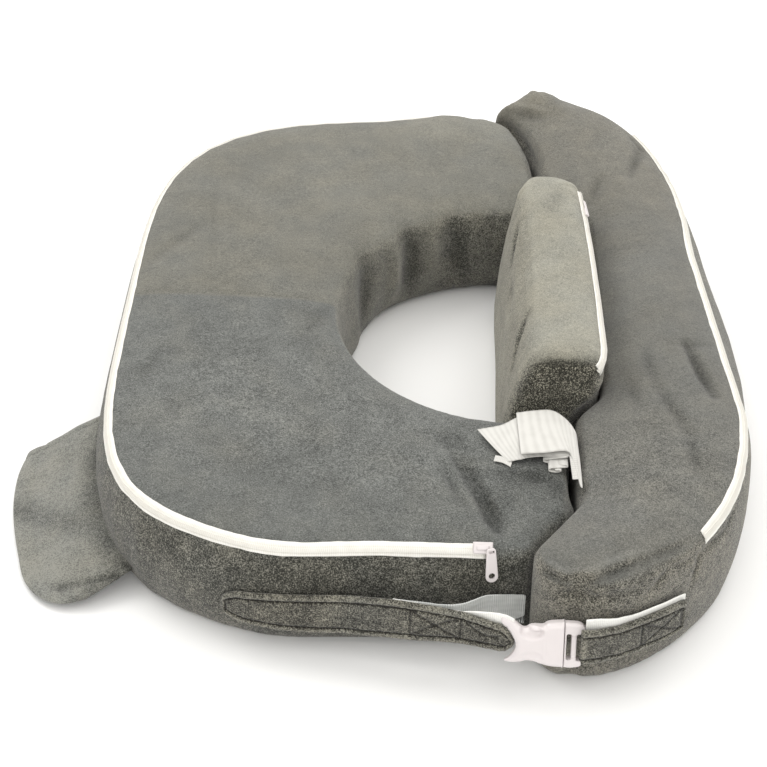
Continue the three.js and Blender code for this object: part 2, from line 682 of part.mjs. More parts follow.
// Buckle halves: outlines in X and Z, drawn about the buckle's middle line
function socketShape() {
  const half = buckle.height / 2;
  const { socketFrom: from, socketTo: to } = buckle;
  const shape = new THREE.Shape();
  shape.moveTo(to, -half);
  shape.lineTo(to, half);
  shape.lineTo(lerp(from, to, 0.6), half);
  shape.quadraticCurveTo(lerp(from, to, 0.5), half - 3, lerp(from, to, 0.36), half - 2.5);
  shape.quadraticCurveTo(lerp(from, to, 0.12), half - 1, from, half - 4.5);
  shape.quadraticCurveTo(from + 23, 0, from, -half + 4.5);
  shape.quadraticCurveTo(lerp(from, to, 0.12), -half + 1, lerp(from, to, 0.36), -half + 2.5);
  shape.quadraticCurveTo(lerp(from, to, 0.5), -half + 3, lerp(from, to, 0.6), -half);
  shape.closePath();
  return shape;
}

function plugShape() {
  const half = buckle.height / 2;
  const from = buckle.socketTo + 0.3;
  const to = buckle.plugTo;
  const shape = new THREE.Shape();
  shape.moveTo(from, -half);
  shape.lineTo(to - 4, -half);
  shape.quadraticCurveTo(to, -half, to, -half + 4);
  shape.lineTo(to, half - 4);
  shape.quadraticCurveTo(to, half, to - 4, half);
  shape.lineTo(from, half);
  shape.closePath();
  [{ start: 3.7, end: 6 }, { start: 11.2, end: 5.2 }].forEach(({ start, end }) => {
    const slot = new THREE.Path();
    const low = -half + end;
    const high = half - end - 5;
    slot.moveTo(from + start, low);
    slot.lineTo(from + start, high);
    slot.lineTo(from + start + 2.6, high);
    slot.lineTo(from + start + 2.6, low);
    shape.holes.push(slot);
  });
  return shape;
}

function buckleHalf(shape, thick) {
  const bevel = 1.6;
  const geometry = new THREE.ExtrudeGeometry(shape, {
    depth: thick - 2 * bevel,
    bevelThickness: bevel,
    bevelSize: bevel,
    bevelOffset: -bevel,
    bevelSegments: 1,
    curveSegments: 5,
  });
  geometry.translate(0, 0, -thick / 2 + bevel);
  return geometry.rotateX(Math.PI / 2);
}

function piece(name, geometry, look) {
  const mesh = new THREE.Mesh(geometry, new THREE.MeshStandardMaterial(looks[look]));
  mesh.name = name;
  return mesh;
}

function nursingPillow() {
  const pillow = new THREE.Group();
  const frontRowList = frontRows();
  const frontSections = frontRowList.map((row) => cushionLoop(row, front, frontTop));
  const backSections = backRows().map((row) => cushionLoop(row, back, backTop));
  const lumbarSections = lumbarPlan.map(lumbarLoop);

  pillow.add(piece('front_cushion', solidFromLoops(frontSections.map(({ loop }) => loop)), 'plush'));
  pillow.add(piece('back_cushion', solidFromLoops(backSections.map(({ loop }) => loop)), 'backPlush'));
  pillow.add(piece('lumbar_cushion', solidFromLoops(lumbarSections.map(({ loop }) => loop)), 'lumbarPlush'));

  const zipped = frontSections.filter((_, i) => {
    const { outer } = frontRowList[i];
    return outer.x < (outer.y > 0 ? frontZip.fromX : frontZip.toX);
  });
  pillow.add(piece('front_zip', zipBand(zipped), 'zip'));
  const between = ({ fromY, toY }) => ({ loop, lowLedge }) => {
    const { y } = loop[lowLedge + 1];
    return y >= toY && y <= fromY;
  };
  pillow.add(piece('back_zip', zipBand(backSections.filter(between(backZip))), 'zip'));
  pillow.add(piece('lumbar_zip', zipBand(lumbarSections.filter(between(lumbarZip))), 'zip'));

  const atSlider = frontSections.findIndex((_, i) => {
    const { outer } = frontRowList[i];
    return outer.y < 0 && outer.x > slider.x - 5;
  });
  const sliderMesh = piece('front_zip_slider', sliderGeometry(), 'plastic');
  sliderMesh.position.copy(ledgePoint(frontSections[atSlider], slider.upLedge, zip.gap)).setX(slider.x);
  sliderMesh.rotation.x = Math.atan2(ledge.down, ledge.out);
  pillow.add(sliderMesh);

  const pullerMesh = piece('front_zip_puller', pullerGeometry(), 'plastic');
  pullerMesh.position.copy(sliderMesh.position).add(pullerFrom);
  pullerMesh.rotation.set(Math.PI / 2 - radians(puller.lean), 0, radians(puller.swing), 'XYZ');
  pillow.add(pullerMesh);

  const tabGeometry = new THREE.BoxGeometry(lumbarTab.thick, lumbarTab.length, lumbarTab.width);
  const tab = piece('lumbar_zip_slider', tabGeometry, 'zip');
  const tabSection = lumbarSections[lumbarPlan.findIndex(({ y }) => y >= lumbarTab.y)];
  const tabOff = zip.gap * 4.1 + zip.tape + zip.coil + lumbarTab.thick / 2;
  const tabOut = ledgeOut(tabSection);
  tab.position.copy(ledgePoint(tabSection, 0.5, tabOff)).setY(lumbarTab.y);
  tab.rotation.y = -Math.atan2(tabOut.z, tabOut.x);
  pillow.add(tab);

  pillow.add(piece('side_pocket', pocketSolid(frontRowList), 'plush'));
  const behind = strap.thick / 2 + strap.gap + strap.webbing / 2;
  const frontPath = frontStrapPath(frontRowList);
  const backedPath = besideRoute(frontPath.slice(firstBacked, -bareRows), behind, 2, 3);
  pillow.add(piece('front_strap', uprightBand(frontPath, strap.thick, 4), 'plush'));
  pillow.add(piece('front_strap_webbing', uprightBand(backedPath, strap.webbing, 0.6), 'webbing'));
  pillow.add(piece('elastic_webbing', uprightBand(elasticRoute, strap.webbing, 0.6), 'elastic'));
  const backPath = backStrapPath();
  const linedPath = besideRoute(backPath, behind, 2, 5);
  pillow.add(piece('back_strap', uprightBand(backPath, strap.thick, 4), 'plush'));
  pillow.add(piece('back_strap_webbing', uprightBand(linedPath, strap.webbing, 0.6), 'webbing'));

  const socket = piece('buckle_socket', buckleHalf(socketShape(), buckle.thick), 'plastic');
  const plug = piece('buckle_plug', buckleHalf(plugShape(), buckle.thick - 1), 'plastic');
  [socket, plug].forEach((half) => {
    half.position.set(0, buckle.y, buckle.z);
    pillow.add(half);
  });
  pillow.add(piece('care_label', labelSolid(), 'satin'));
  return pillow;
}

// The origin is the middle of the pillow's footprint, on the surface that it lies on.
const pillow = nursingPillow();
const part = new THREE.Group();
part.add(pillow);
const bounds = new THREE.Box3().setFromObject(part);
pillow.position.set(-(bounds.min.x + bounds.max.x) / 2, -(bounds.min.y + bounds.max.y) / 2, -bounds.min.z);
export default part;
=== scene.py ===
import math

import bmesh
import bpy
import numpy as np
from mathutils import Euler, Matrix, Vector, noise
from mathutils.bvhtree import BVHTree


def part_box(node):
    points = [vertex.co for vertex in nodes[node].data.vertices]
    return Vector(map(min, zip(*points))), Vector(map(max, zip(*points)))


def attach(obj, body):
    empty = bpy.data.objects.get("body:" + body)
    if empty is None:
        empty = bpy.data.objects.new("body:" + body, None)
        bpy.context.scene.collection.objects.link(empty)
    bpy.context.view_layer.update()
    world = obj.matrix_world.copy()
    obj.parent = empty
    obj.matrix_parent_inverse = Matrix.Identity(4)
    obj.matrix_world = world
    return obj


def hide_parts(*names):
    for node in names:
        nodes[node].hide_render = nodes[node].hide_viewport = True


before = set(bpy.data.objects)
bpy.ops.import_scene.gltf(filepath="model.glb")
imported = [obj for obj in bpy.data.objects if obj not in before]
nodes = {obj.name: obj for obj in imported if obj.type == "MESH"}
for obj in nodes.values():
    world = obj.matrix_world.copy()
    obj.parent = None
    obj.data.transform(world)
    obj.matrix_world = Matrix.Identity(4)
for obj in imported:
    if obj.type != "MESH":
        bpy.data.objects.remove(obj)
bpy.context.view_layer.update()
scene = bpy.context.scene
mm = 0.001

# Tables are in millimetres on a plan whose x is 0 under the camera.
planShift = Vector((35.2875, 4.018, 0))


def place(x, y, z=0.0):
    return (Vector((x, y, z)) + planShift) * mm


def lerp(a, b, t):
    return a + (b - a) * t


def clamp(value, low=0.0, high=1.0):
    return max(low, min(high, value))


def ease(value):
    t = clamp(value)
    return t * t * (3 - 2 * t)


def smoothStep(values):
    # the same for a whole array
    t = np.clip(values, 0, 1)
    return t * t * (3 - 2 * t)


def rounded(value):
    # a quarter round, from 0 at its rim to 1
    t = clamp(value)
    return math.sqrt(t * (2 - t))


def bump(away, width):
    # 1 at nothing away, fading over the width
    return math.exp(-((away / width) ** 2))


def along(table, at, column):
    # one column of a table, read between rows that rise in their first column
    for low, high in zip(table, table[1:]):
        if at <= high[0] or high is table[-1]:
            t = clamp((at - low[0]) / (high[0] - low[0]))
            return lerp(low[column], high[column], t)


def smoothRow(rows, at):
    # a point on the smooth curve through the rows, with at from 0 to 1
    last = len(rows) - 1
    spot = clamp(at) * last
    i = min(int(spot), last - 1)
    t = spot - i
    a, b, c, d = (Vector(rows[clamp(i + step, 0, last)]) for step in (-1, 0, 1, 2))
    square, cube = 2 * a - 5 * b + 4 * c - d, 3 * b - a - 3 * c + d
    return 0.5 * (2 * b + (c - a) * t + square * t**2 + cube * t**3)


def wobble(x, y=0.0, z=0.0):
    return noise.noise(Vector((x, y, z)))


def lengthsAlong(route, unit=1.0):
    # how far each place of a route lies along it
    length = [0.0]
    for a, b in zip(route, route[1:]):
        length.append(length[-1] + (b - a).length / unit)
    return length


# Meshes
def meshObject(name, bm, smooth=True):
    mesh = bpy.data.meshes.new(name)
    bm.to_mesh(mesh)
    bm.free()
    mesh.polygons.foreach_set("use_smooth", [smooth] * len(mesh.polygons))
    thing = bpy.data.objects.new(name, mesh)
    scene.collection.objects.link(thing)
    return thing


def mergedCopy(node):
    # a CAD node's mesh is loose triangles, so a copy of it is merged first
    bm = bmesh.new()
    bm.from_mesh(nodes[node].data)
    bmesh.ops.remove_doubles(bm, verts=bm.verts, dist=1e-6)
    return bm


def points(thing):
    co = np.empty(len(thing.data.vertices) * 3)
    thing.data.vertices.foreach_get("co", co)
    return co.reshape(-1, 3)


def setPoints(thing, co):
    thing.data.vertices.foreach_set("co", np.asarray(co, float).ravel())
    thing.data.update()


def normals(thing):
    out = np.empty(len(thing.data.vertices) * 3)
    thing.data.vertices.foreach_get("normal", out)
    return out.reshape(-1, 3)


def bake(thing):
    # takes the modifiers' result as the mesh
    graph = bpy.context.evaluated_depsgraph_get()
    mesh = bpy.data.meshes.new_from_object(thing.evaluated_get(graph))
    old = thing.data
    thing.modifiers.clear()
    thing.data = mesh
    bpy.data.meshes.remove(old)
    mesh.name = thing.name
    mesh.polygons.foreach_set("use_smooth", [True] * len(mesh.polygons))


def setValue(thing, name, values):
    # one number for each point, which a material reads by its name
    layer = thing.data.attributes.new(name, "FLOAT", "POINT")
    layer.data.foreach_set("value", np.asarray(values, np.float32))


def finish(thing, slot, material, *stoodFor):
    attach(thing, "root")
    thing.data.materials.clear()
    thing.data.materials.append(material)
    if stoodFor:
        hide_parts(*stoodFor)
    return thing


# Camera at the photo's angle
cameraSet = {
    "at": (0.0, -1565.5, 1191.4),
    "pitch": 36.99,
    "roll": 0.675,
    "yaw": 1.378,
    "lens": 2000 / 767 * 36,
}


def makeCamera():
    pitch, roll, yaw = (math.radians(cameraSet[key]) for key in ("pitch", "roll", "yaw"))
    right = Vector((1, 0, 0))
    up = Vector((0, math.sin(pitch), math.cos(pitch)))
    ahead = Vector((0, math.cos(pitch), -math.sin(pitch)))
    rolledRight = right * math.cos(roll) + up * math.sin(roll)
    rolledUp = up * math.cos(roll) - right * math.sin(roll)
    turn = Matrix.Rotation(yaw, 3, "Z")
    axes = [turn @ rolledRight, turn @ rolledUp, turn @ -ahead]
    data = bpy.data.cameras.new("camera")
    data.sensor_width = 36
    data.lens = cameraSet["lens"]
    data.clip_start, data.clip_end = 0.05, 20
    camera = bpy.data.objects.new("camera", data)
    scene.collection.objects.link(camera)
    turned = Matrix([[axes[column][row] for column in range(3)] for row in range(3)])
    camera.matrix_world = Matrix.Translation(place(*cameraSet["at"])) @ turned.to_4x4()
    scene.camera = camera


# Shader nodes
def newMaterial(name, roughness, **fixed):
    paint = bpy.data.materials.new(name)
    paint.use_nodes = True
    shader = paint.node_tree.nodes["Principled BSDF"]
    shader.inputs["Roughness"].default_value = roughness
    for key, value in fixed.items():
        shader.inputs[key.replace("_", " ")].default_value = value
    return paint, shader


def addNode(paint, kind, inputs, settings=None, out=0):
    # a node with its inputs set or linked, by name or number; gives back one output
    tree = paint.node_tree
    made = tree.nodes.new(kind)
    for key, value in (settings or {}).items():
        setattr(made, key, value)
    for key, value in inputs.items():
        socket = made.inputs[key]
        if isinstance(value, bpy.types.NodeSocket):
            tree.links.new(value, socket)
        else:
            socket.default_value = value
    return made.outputs[out]


def combine(paint, operation, *values):
    return addNode(paint, "ShaderNodeMath", dict(enumerate(values)), {"operation": operation})


# Floor and light
stageSet = {
    "sky": (1.0, 0.99, 0.965),
    "zenith": 1.62,
    "horizon": 0.55,
    "behind": 0.05,  # how much brighter the sky is behind the pillow than before it
    "floor": (0.88, 0.88, 0.88, 1),
    "floorRoughness": 0.9,
    "floorSize": 6,  # metres
    "floorDrop": 0.3,
    "aim": (60, 0, 60),
    "lamps": [
        # place on the plan, size, watts, colour
        ((-1100, 500, 1900), 1.2, 12, (1.0, 0.985, 0.96)),
        ((1000, 500, 1600), 1.2, 6, (1.0, 0.98, 0.95)),
        ((100, -1900, 1000), 1.6, 9, (1.0, 0.985, 0.96)),
    ],
}


def makeSky():
    world = bpy.data.worlds.new("studio")
    scene.world = world
    world.use_nodes = True
    sky = world.node_tree.nodes["Background"]
    sky.inputs["Color"].default_value = (*stageSet["sky"], 1)
    where = addNode(world, "ShaderNodeTexCoord", {}, out="Generated")
    height = addNode(world, "ShaderNodeSeparateXYZ", {0: where}, out="Z")
    limits = {"Value": height, "To Min": stageSet["horizon"], "To Max": stageSet["zenith"]}
    rise = addNode(world, "ShaderNodeMapRange", limits, out="Result")
    strength = combine(world, "MULTIPLY_ADD", height.node.outputs["Y"], stageSet["behind"], rise)
    world.node_tree.links.new(strength, sky.inputs["Strength"])


def makeLamps():
    for i, (at, size, watts, colour) in enumerate(stageSet["lamps"]):
        data = bpy.data.lights.new(f"lamp{i}", "AREA")
        data.shape = "DISK"
        data.size, data.energy, data.color = size, watts, colour
        lamp = bpy.data.objects.new(f"lamp{i}", data)
        lamp.location = place(*at)
        towards = place(*stageSet["aim"]) - lamp.location
        lamp.rotation_euler = towards.to_track_quat("-Z", "Y").to_euler()
        scene.collection.objects.link(lamp)


def makeFloor():
    bm = bmesh.new()
    bmesh.ops.create_grid(bm, x_segments=1, y_segments=1, size=stageSet["floorSize"])
    bmesh.ops.translate(bm, verts=bm.verts, vec=(0, 0, -stageSet["floorDrop"] * mm))
    floor = meshObject("floor", bm)
    paint = newMaterial("floor", stageSet["floorRoughness"], Base_Color=stageSet["floor"])[0]
    floor.data.materials.append(paint)


makeCamera()
makeSky()
makeLamps()
makeFloor()
scene.view_settings.view_transform = "Standard"
print("camera, floor and light made")


# Materials
def sums(paint, start, *terms):
    # start plus each value times its share
    total = start
    for value, share in terms:
        total = combine(paint, "MULTIPLY_ADD", value, share, total)
    return total


def mottle(paint, scale, detail=2.0, rough=0.5):
    # noise on Object coordinates, about nothing
    spot = addNode(paint, "ShaderNodeTexCoord", {}, out="Object")
    inputs = {"Vector": spot, "Scale": scale, "Detail": detail, "Roughness": rough}
    return combine(paint, "SUBTRACT", addNode(paint, "ShaderNodeTexNoise", inputs), 0.5)


def readValue(paint, name):
    return addNode(paint, "ShaderNodeAttribute", {}, {"attribute_name": name}, "Fac")


def ramp(paint, value, stops):
    colour = addNode(paint, "ShaderNodeValToRGB", {"Fac": value}, out="Color")
    band = colour.node.color_ramp
    while len(band.elements) < len(stops):
        band.elements.new(0.5)
    for element, (spot, tone) in zip(band.elements, stops):
        element.position = spot
        element.color = (*tone, 1)
    return colour


def raised(paint, shader, height, strength, distance):
    inputs = {"Height": height, "Strength": strength, "Distance": distance}
    paint.node_tree.links.new(addNode(paint, "ShaderNodeBump", inputs), shader.inputs["Normal"])


# Plush: tones from the bottom of the pile to its tips
plushTones = {
    "front": {"dark": (0.018, 0.019, 0.016), "mid": (0.120, 0.122, 0.113), "light": (0.265, 0.268, 0.248)},
    "back": {"dark": (0.018, 0.018, 0.015), "mid": (0.130, 0.129, 0.118), "light": (0.275, 0.272, 0.248)},
    "lumbar": {"dark": (0.022, 0.022, 0.018), "mid": (0.262, 0.262, 0.232), "light": (0.46, 0.46, 0.41)},
    "strap": {"dark": (0.012, 0.011, 0.009), "mid": (0.088, 0.086, 0.074), "light": (0.25, 0.245, 0.212)},
}
pile = {
    # noise scale, share everywhere, further share where the pile is coarse
    "loops": (860, 0.95, 2.5),
    "tufts": (260, 0.22, 0.7),
    "patches": (48, 0.24, 0.5),
    "broad": (9, 0.2, 0.0),
}
plushLook = {
    "roughness": 0.95, "sheen": 0.2, "sheenRoughness": 0.55, "gloss": 0.12, "noiseRoughness": 0.65,
    # hues at the ends of the warm value, with its share, and the noise between them
    "cool": (0.945, 0.965, 0.985), "warm": (1.0, 0.95, 0.855), "warmShare": 0.5, "hueNoise": (24, 1.1),
    # noise scale and share of the raised pile, then its strength and its height in metres
    "raisedLoops": (860, 1.0), "raisedTufts": (230, 0.8), "strength": 0.6, "height": 0.0014,
}


def makePlush(name):
    tones = plushTones[name]
    look = plushLook
    paint, shader = newMaterial(
        name + "_plush", look["roughness"], Specular_IOR_Level=look["gloss"],
        Sheen_Weight=look["sheen"], Sheen_Roughness=look["sheenRoughness"],
    )
    coarse = readValue(paint, "coarse")
    tone = sums(paint, 0.5, (readValue(paint, "nap"), 1.0))
    for scale, always, more in pile.values():
        value = mottle(paint, scale, 2.0, look["noiseRoughness"])
        loud = combine(paint, "MULTIPLY_ADD", coarse, more, always)
        tone = combine(paint, "MULTIPLY_ADD", value, loud, tone)
    colour = ramp(paint, tone, [(0.0, tones["dark"]), (0.5, tones["mid"]), (1.0, tones["light"])])
    scale, share = look["hueNoise"]
    warm = readValue(paint, "warm")
    warmth = sums(paint, 0.5, (warm, look["warmShare"]), (mottle(paint, scale, 3.0), share))
    hue = ramp(paint, warmth, [(0.0, look["cool"]), (1.0, look["warm"])])
    inputs = {"Fac": 1.0, "Color1": colour, "Color2": hue}
    tinted = addNode(paint, "ShaderNodeMixRGB", inputs, {"blend_type": "MULTIPLY"}, "Color")
    paint.node_tree.links.new(tinted, shader.inputs["Base Color"])
    (loopScale, loopShare), (tuftScale, tuftShare) = look["raisedLoops"], look["raisedTufts"]
    loops = mottle(paint, loopScale, 2.0, look["noiseRoughness"])
    lift = sums(paint, 0.0, (loops, loopShare), (mottle(paint, tuftScale), tuftShare))
    raised(paint, shader, lift, look["strength"], look["height"])
    return paint


plush = {name: makePlush(name) for name in plushTones}


# Woven and moulded finishes
tapeLook = {
    "roughness": 0.6, "sheen": 0.1, "noise": 90, "middle": 0.55,
    # shares of the ribs, the cross threads and the noise
    "tone": (0.14, 0.05, 0.5), "lift": (0.5, 0.4, 0.4), "strength": 0.4, "height": 0.0004,
}
tapes = {
    # light and dark tones, then the rates of the ribs along it and of the threads across
    "zip_tape": ((0.94, 0.93, 0.89), (0.62, 0.60, 0.545), 4.2, 9.0),
    "webbing": ((0.93, 0.925, 0.89), (0.62, 0.615, 0.585), 3.9, 6.3),
    "elastic": ((0.68, 0.69, 0.675), (0.29, 0.305, 0.30), 3.3, 1.1),
    "satin": ((0.60, 0.59, 0.56), (0.33, 0.32, 0.295), 1.2, 7.0),
}
plasticLook = {
    "roughness": 0.34, "coat": 0.15, "coatRoughness": 0.3, "clouds": 35, "grain": 900, "shade": 0.9,
    "strength": 0.12, "height": 0.0003,
}
plastics = {"zip_teeth": (0.72, 0.70, 0.65), "white_plastic": (0.66, 0.615, 0.615)}


def makeTape(name):
    # ribs and weave on the piece's own lengths, in millimetres
    light, dark, ribRate, threadRate = tapes[name]
    paint, shader = newMaterial(name, tapeLook["roughness"], Sheen_Weight=tapeLook["sheen"])
    ribs = combine(paint, "SINE", combine(paint, "MULTIPLY", readValue(paint, "run"), ribRate))
    threads = combine(paint, "SINE", combine(paint, "MULTIPLY", readValue(paint, "over"), threadRate))
    weave = (ribs, threads, mottle(paint, tapeLook["noise"]))
    tone = sums(paint, tapeLook["middle"], *zip(weave, tapeLook["tone"]), (readValue(paint, "nap"), 1.0))
    paint.node_tree.links.new(ramp(paint, tone, [(0.0, dark), (1.0, light)]), shader.inputs["Base Color"])
    lift = sums(paint, 0.0, *zip(weave, tapeLook["lift"]))
    raised(paint, shader, lift, tapeLook["strength"], tapeLook["height"])
    return paint


def makePlastic(name):
    colour, look = plastics[name], plasticLook
    paint, shader = newMaterial(
        name, look["roughness"], Coat_Weight=look["coat"], Coat_Roughness=look["coatRoughness"]
    )
    clouds, grain = mottle(paint, look["clouds"]), mottle(paint, look["grain"])
    shade = tuple(part * look["shade"] for part in colour)
    tone = ramp(paint, sums(paint, 0.5, (clouds, 0.5)), [(0.0, shade), (1.0, colour)])
    paint.node_tree.links.new(tone, shader.inputs["Base Color"])
    lift = sums(paint, 0.0, (grain, 1.0), (clouds, 2.0))
    raised(paint, shader, lift, look["strength"], look["height"])
    return paint


woven = {name: makeTape(name) for name in tapes}
moulded = {name: makePlastic(name) for name in plastics}
print("materials made")


# Cushions: swelled cloth about each solid, then the creases, the lie of the pile and painted shade and
# highlights
# below "standing" a cushion is held still, and "past" is how far it may stand out of its solid
swelling = {"frames": 12, "quality": 5, "standing": 3, "past": 0.3}
# creases press the cover in; their troughs are also darkened and their ridges lightened in colour, as painted
# shade and painted highlight, by a share of the depth within limits
creaseLook = {"press": 1.5, "ends": 0.3, "nap": 0.075, "least": -0.12, "most": 0.3}
pileLook = {"topFrom": 0.3, "topOver": 0.58, "wallWarm": 0.8}  # slopes are the upward share of the normal
cushions = {
    "front": {
        "node": "front_cushion",
        "voxel": 5.2, "shrink": 2.5, "pressure": 4, "cap": 6, "fill": 0.9, "hold": 0.78,
        "creases": [
            # x, y, z to x, y, z, width, depth; a ridge has a negative depth
            ((62, -323, 110), (49, -275, 111), 5, 3.0), ((49, -275, 111), (36, -222, 111), 6, 2.4),
            ((36, -222, 111), (28, -180, 111), 7, 1.2), ((70, -320, 110), (55, -280, 111), 4, 2.6),
            ((55, -280, 111), (43, -249, 111), 5, 1.8), ((56, -322, 111), (42, -262, 111), 5, -1.4),
            ((19, -192, 111), (25, -218, 111), 5, 1.4), ((25, -218, 111), (38, -257, 111), 4, 2.2),
            ((38, -257, 111), (58, -311, 110), 4, 2.4), ((58, -311, 110), (70, -329, 108), 4, 1.8),
            ((19, -241, 111), (36, -296, 111), 4, 1.8), ((51, -266, 111), (66, -316, 110), 3, 2.0),
            ((-262, 6, 110), (-80, 0, 110), 3.5, 0.5), ((-220, 195, 110), (-205, 41, 110), 4, 0.6),
            ((-268, 60, 109), (-222, 129, 111), 7, 0.9), ((-259, -146, 110), (-238, -88, 111), 7, 1.0),
            ((-118, -74, 111), (-86, -1, 108), 8, 0.9), ((-2, 348, 106), (46, 350, 106), 34, -2.8),
            ((-58, 83, 95), (-58, 85, 15), 13, 4.5), ((-33, 122, 95), (-31, 132, 20), 8, -2.5),
            ((-16, 135, 95), (-13, 145, 22), 11, 4.5), ((8, 148, 95), (10, 152, 30), 8, -1.8),
            ((30, 161, 98), (34, 166, 30), 12, 3.5), ((92, -262, 112), (108, -262, 112), 8, 1.2),
            ((60, 350, 98), (86, 322, 96), 18, -3.4),
        ],
        "coarse": [
            # x, y, reach, reach, amount
            (-120, -160, 260, 150, 0.42), (60, -260, 110, 110, 0.25),
        ],
        # patches of tone on the top; the two at x 92 and 122 are painted shadow under the care label
        "nap": [
            (60, -300, 60, 60, -0.10), (100, -190, 40, 70, -0.06), (-60, 315, 220, 22, 0.05),
            (-230, 120, 60, 40, -0.02), (-205, -60, 22, 60, -0.05), (-120, -260, 50, 40, -0.05),
            (-100, 240, 90, 40, 0.02), (92, -255, 24, 12, -0.3), (122, -272, 12, 14, -0.34),
            (-61, 60, 10, 60, -0.05),
        ],
        # the pile lies the other way beyond a wavy line across the top: its y, wave, turns and blend
        # the far values add to the near ones
        "line": (4, 5, 0.011, 5), "nearNap": -0.02, "farNap": 0.085, "nearWarm": -0.9, "farWarm": 1.5,
        # the hole's middle and reach, then the painted highlight in a band under its rim: lightness, slope and
        # width
        "hole": ((60, 10), (160, 175)), "band": (0.16, 0.55, 0.22),
        # painted shade: how much darker the near, left and hole walls are; painted light: how much lighter its
        # right-hand wall is
        "nearWall": (0.1, 0.2, -170, 60), "leftWall": 0.24, "holeNear": 0.04, "holeRight": 0.12,
        "holeCoarse": (0.45, 0.4, 5, 30),
    },
    "back": {
        "node": "back_cushion",
        "voxel": 5.2, "shrink": 2.5, "pressure": 4, "cap": 6, "fill": 0.9, "hold": 0.72,
        "creases": [
            ((225, 285, 119), (210, 218, 124), 5, 2.4), ((178, 215, 125), (166, 172, 119), 5, 1.6),
            ((213, 316, 120), (232, 275, 118), 4, 2.0), ((240, -70, 121), (258, -150, 121), 5, 4.0),
            ((226, -78, 122), (262, -72, 120), 5, 1.2), ((201, -84, 123), (209, -142, 124), 6, 1.4),
            ((209, -142, 124), (231, -208, 123), 6, 1.8), ((231, -208, 123), (233, -263, 123), 6, 1.6),
            ((183, -122, 121), (191, -178, 124), 6, 1.2), ((99, -369, 108), (115, -385, 109), 4, 2.6),
            ((115, -385, 109), (139, -389, 114), 4, 2.8), ((139, -389, 114), (181, -367, 118), 4, 2.2),
            ((181, -367, 118), (222, -340, 116), 4, 1.6), ((102, -368, 115), (115, -380, 115), 4, -1.6),
            ((115, -380, 115), (139, -381, 119), 4, -1.8), ((139, -381, 119), (182, -359, 121), 4, -1.4),
            ((110, -384, 96), (140, -394, 99), 5, 2.2), ((140, -394, 99), (182, -380, 99), 5, 1.6),
            ((188, -377, 92), (204, -365, 106), 4, 1.8), ((204, -365, 106), (230, -341, 99), 4, 1.8),
            ((226, -345, 72), (232, -338, 100), 4, 1.6), ((232, -338, 100), (256, -306, 96), 4, 2.2),
            ((256, -306, 96), (268, -280, 103), 4, 1.8), ((72, 362, 104), (100, 328, 98), 9, 2.6),
            ((100, 328, 98), (109, 300, 96), 7, 2.0), ((106, 368, 128), (118, 366, 128), 14, -3.4),
            ((83, 365, 120), (125, 347, 125), 4, -1.6), ((86, 354, 118), (122, 338, 122), 5, 1.2),
            # the last three creases run low on the near wall along the strap's lower edge: a trough darkened as
            # painted shadow under the strap
            ((128, -262, 110), (140, -276, 108), 7, 2.5), ((150, -396, 38), (178, -379, 32), 4, 1.8),
            ((178, -379, 32), (208, -358, 30), 4, 1.8), ((208, -358, 30), (226, -344, 36), 4, 1.6),
        ],
        "coarse": [(200, -260, 120, 90, 0.4), (180, 300, 90, 60, 0.15)],
        "nap": [(200, -200, 80, 120, -0.04), (170, 330, 70, 40, 0.02)],
        # where the far tip's slope counts as top: x, blend, y, blend, z, blend
        "tip": (150, 14, 250, 20, 98, 5),
        # warmth near and beyond y with its blend, then lightness of the far top, then the painted shade that
        # darkens the near wall
        "warmth": (-0.3, 0.9, 60, 160), "farNap": (0.03, 100, 100), "nearWall": 0.02,
    },
    "lumbar": {
        "node": "lumbar_cushion",
        "voxel": 4.0, "shrink": 2.0, "pressure": 4, "cap": 5, "fill": 0.95, "hold": 0.72,
        "creases": [
            ((87, 82, 146), (84, 45, 125), 4, 2.4), ((93, -78, 152), (82, -112, 118), 5, 2.6),
            ((86, 20, 120), (86, -20, 116), 8, 1.2), ((130, 117, 167), (120, 70, 167), 8, 1.0),
            ((85, 140, 156), (88, 126, 160), 14, -2.4), ((141, 140, 158), (142, 126, 160), 14, -2.4),
        ],
        "nap": [],
        # the near end: how soon it counts, how coarse it is, how dark its painted shade is, and how high it
        # reaches
        "nearEnd": (1.4, 0.85, 0.42, 158), "wallCoarse": 0.3, "wallNap": 0.05, "warmth": 0.35,
    },
}


def remesh(thing, size):
    step = thing.modifiers.new("remesh", "REMESH")
    step.mode = "VOXEL"
    step.voxel_size = size
    bake(thing)


def swell(thing, pinned, pressure, cap):
    # cloth under pressure, with no point moving further than the cap
    start = points(thing)
    group = thing.vertex_groups.new(name="pinned")
    group.add([int(i) for i in np.nonzero(pinned)[0]], 1.0, "REPLACE")
    step = thing.modifiers.new("cloth", "CLOTH")
    step.settings.quality = swelling["quality"]
    step.settings.use_pressure = True
    step.settings.uniform_pressure_force = pressure
    step.settings.vertex_group_mass = "pinned"
    step.settings.effector_weights.gravity = 0
    step.collision_settings.use_collision = False
    step.point_cache.frame_start, step.point_cache.frame_end = 1, swelling["frames"]
    for number in range(1, swelling["frames"] + 1):
        scene.frame_set(number)
    graph = bpy.context.evaluated_depsgraph_get()
    moved = points(thing.evaluated_get(graph))
    thing.modifiers.remove(step)
    thing.vertex_groups.clear()
    scene.frame_set(1)
    shift = moved - start
    far = np.linalg.norm(shift, axis=1, keepdims=True)
    setPoints(thing, start + shift * np.minimum(1, cap / np.maximum(far, 1e-9)))


def finer(thing):
    step = thing.modifiers.new("finer", "SUBSURF")
    step.levels = step.render_levels = 1
    bake(thing)


def planned(co):
    return co / mm - np.array(planShift)


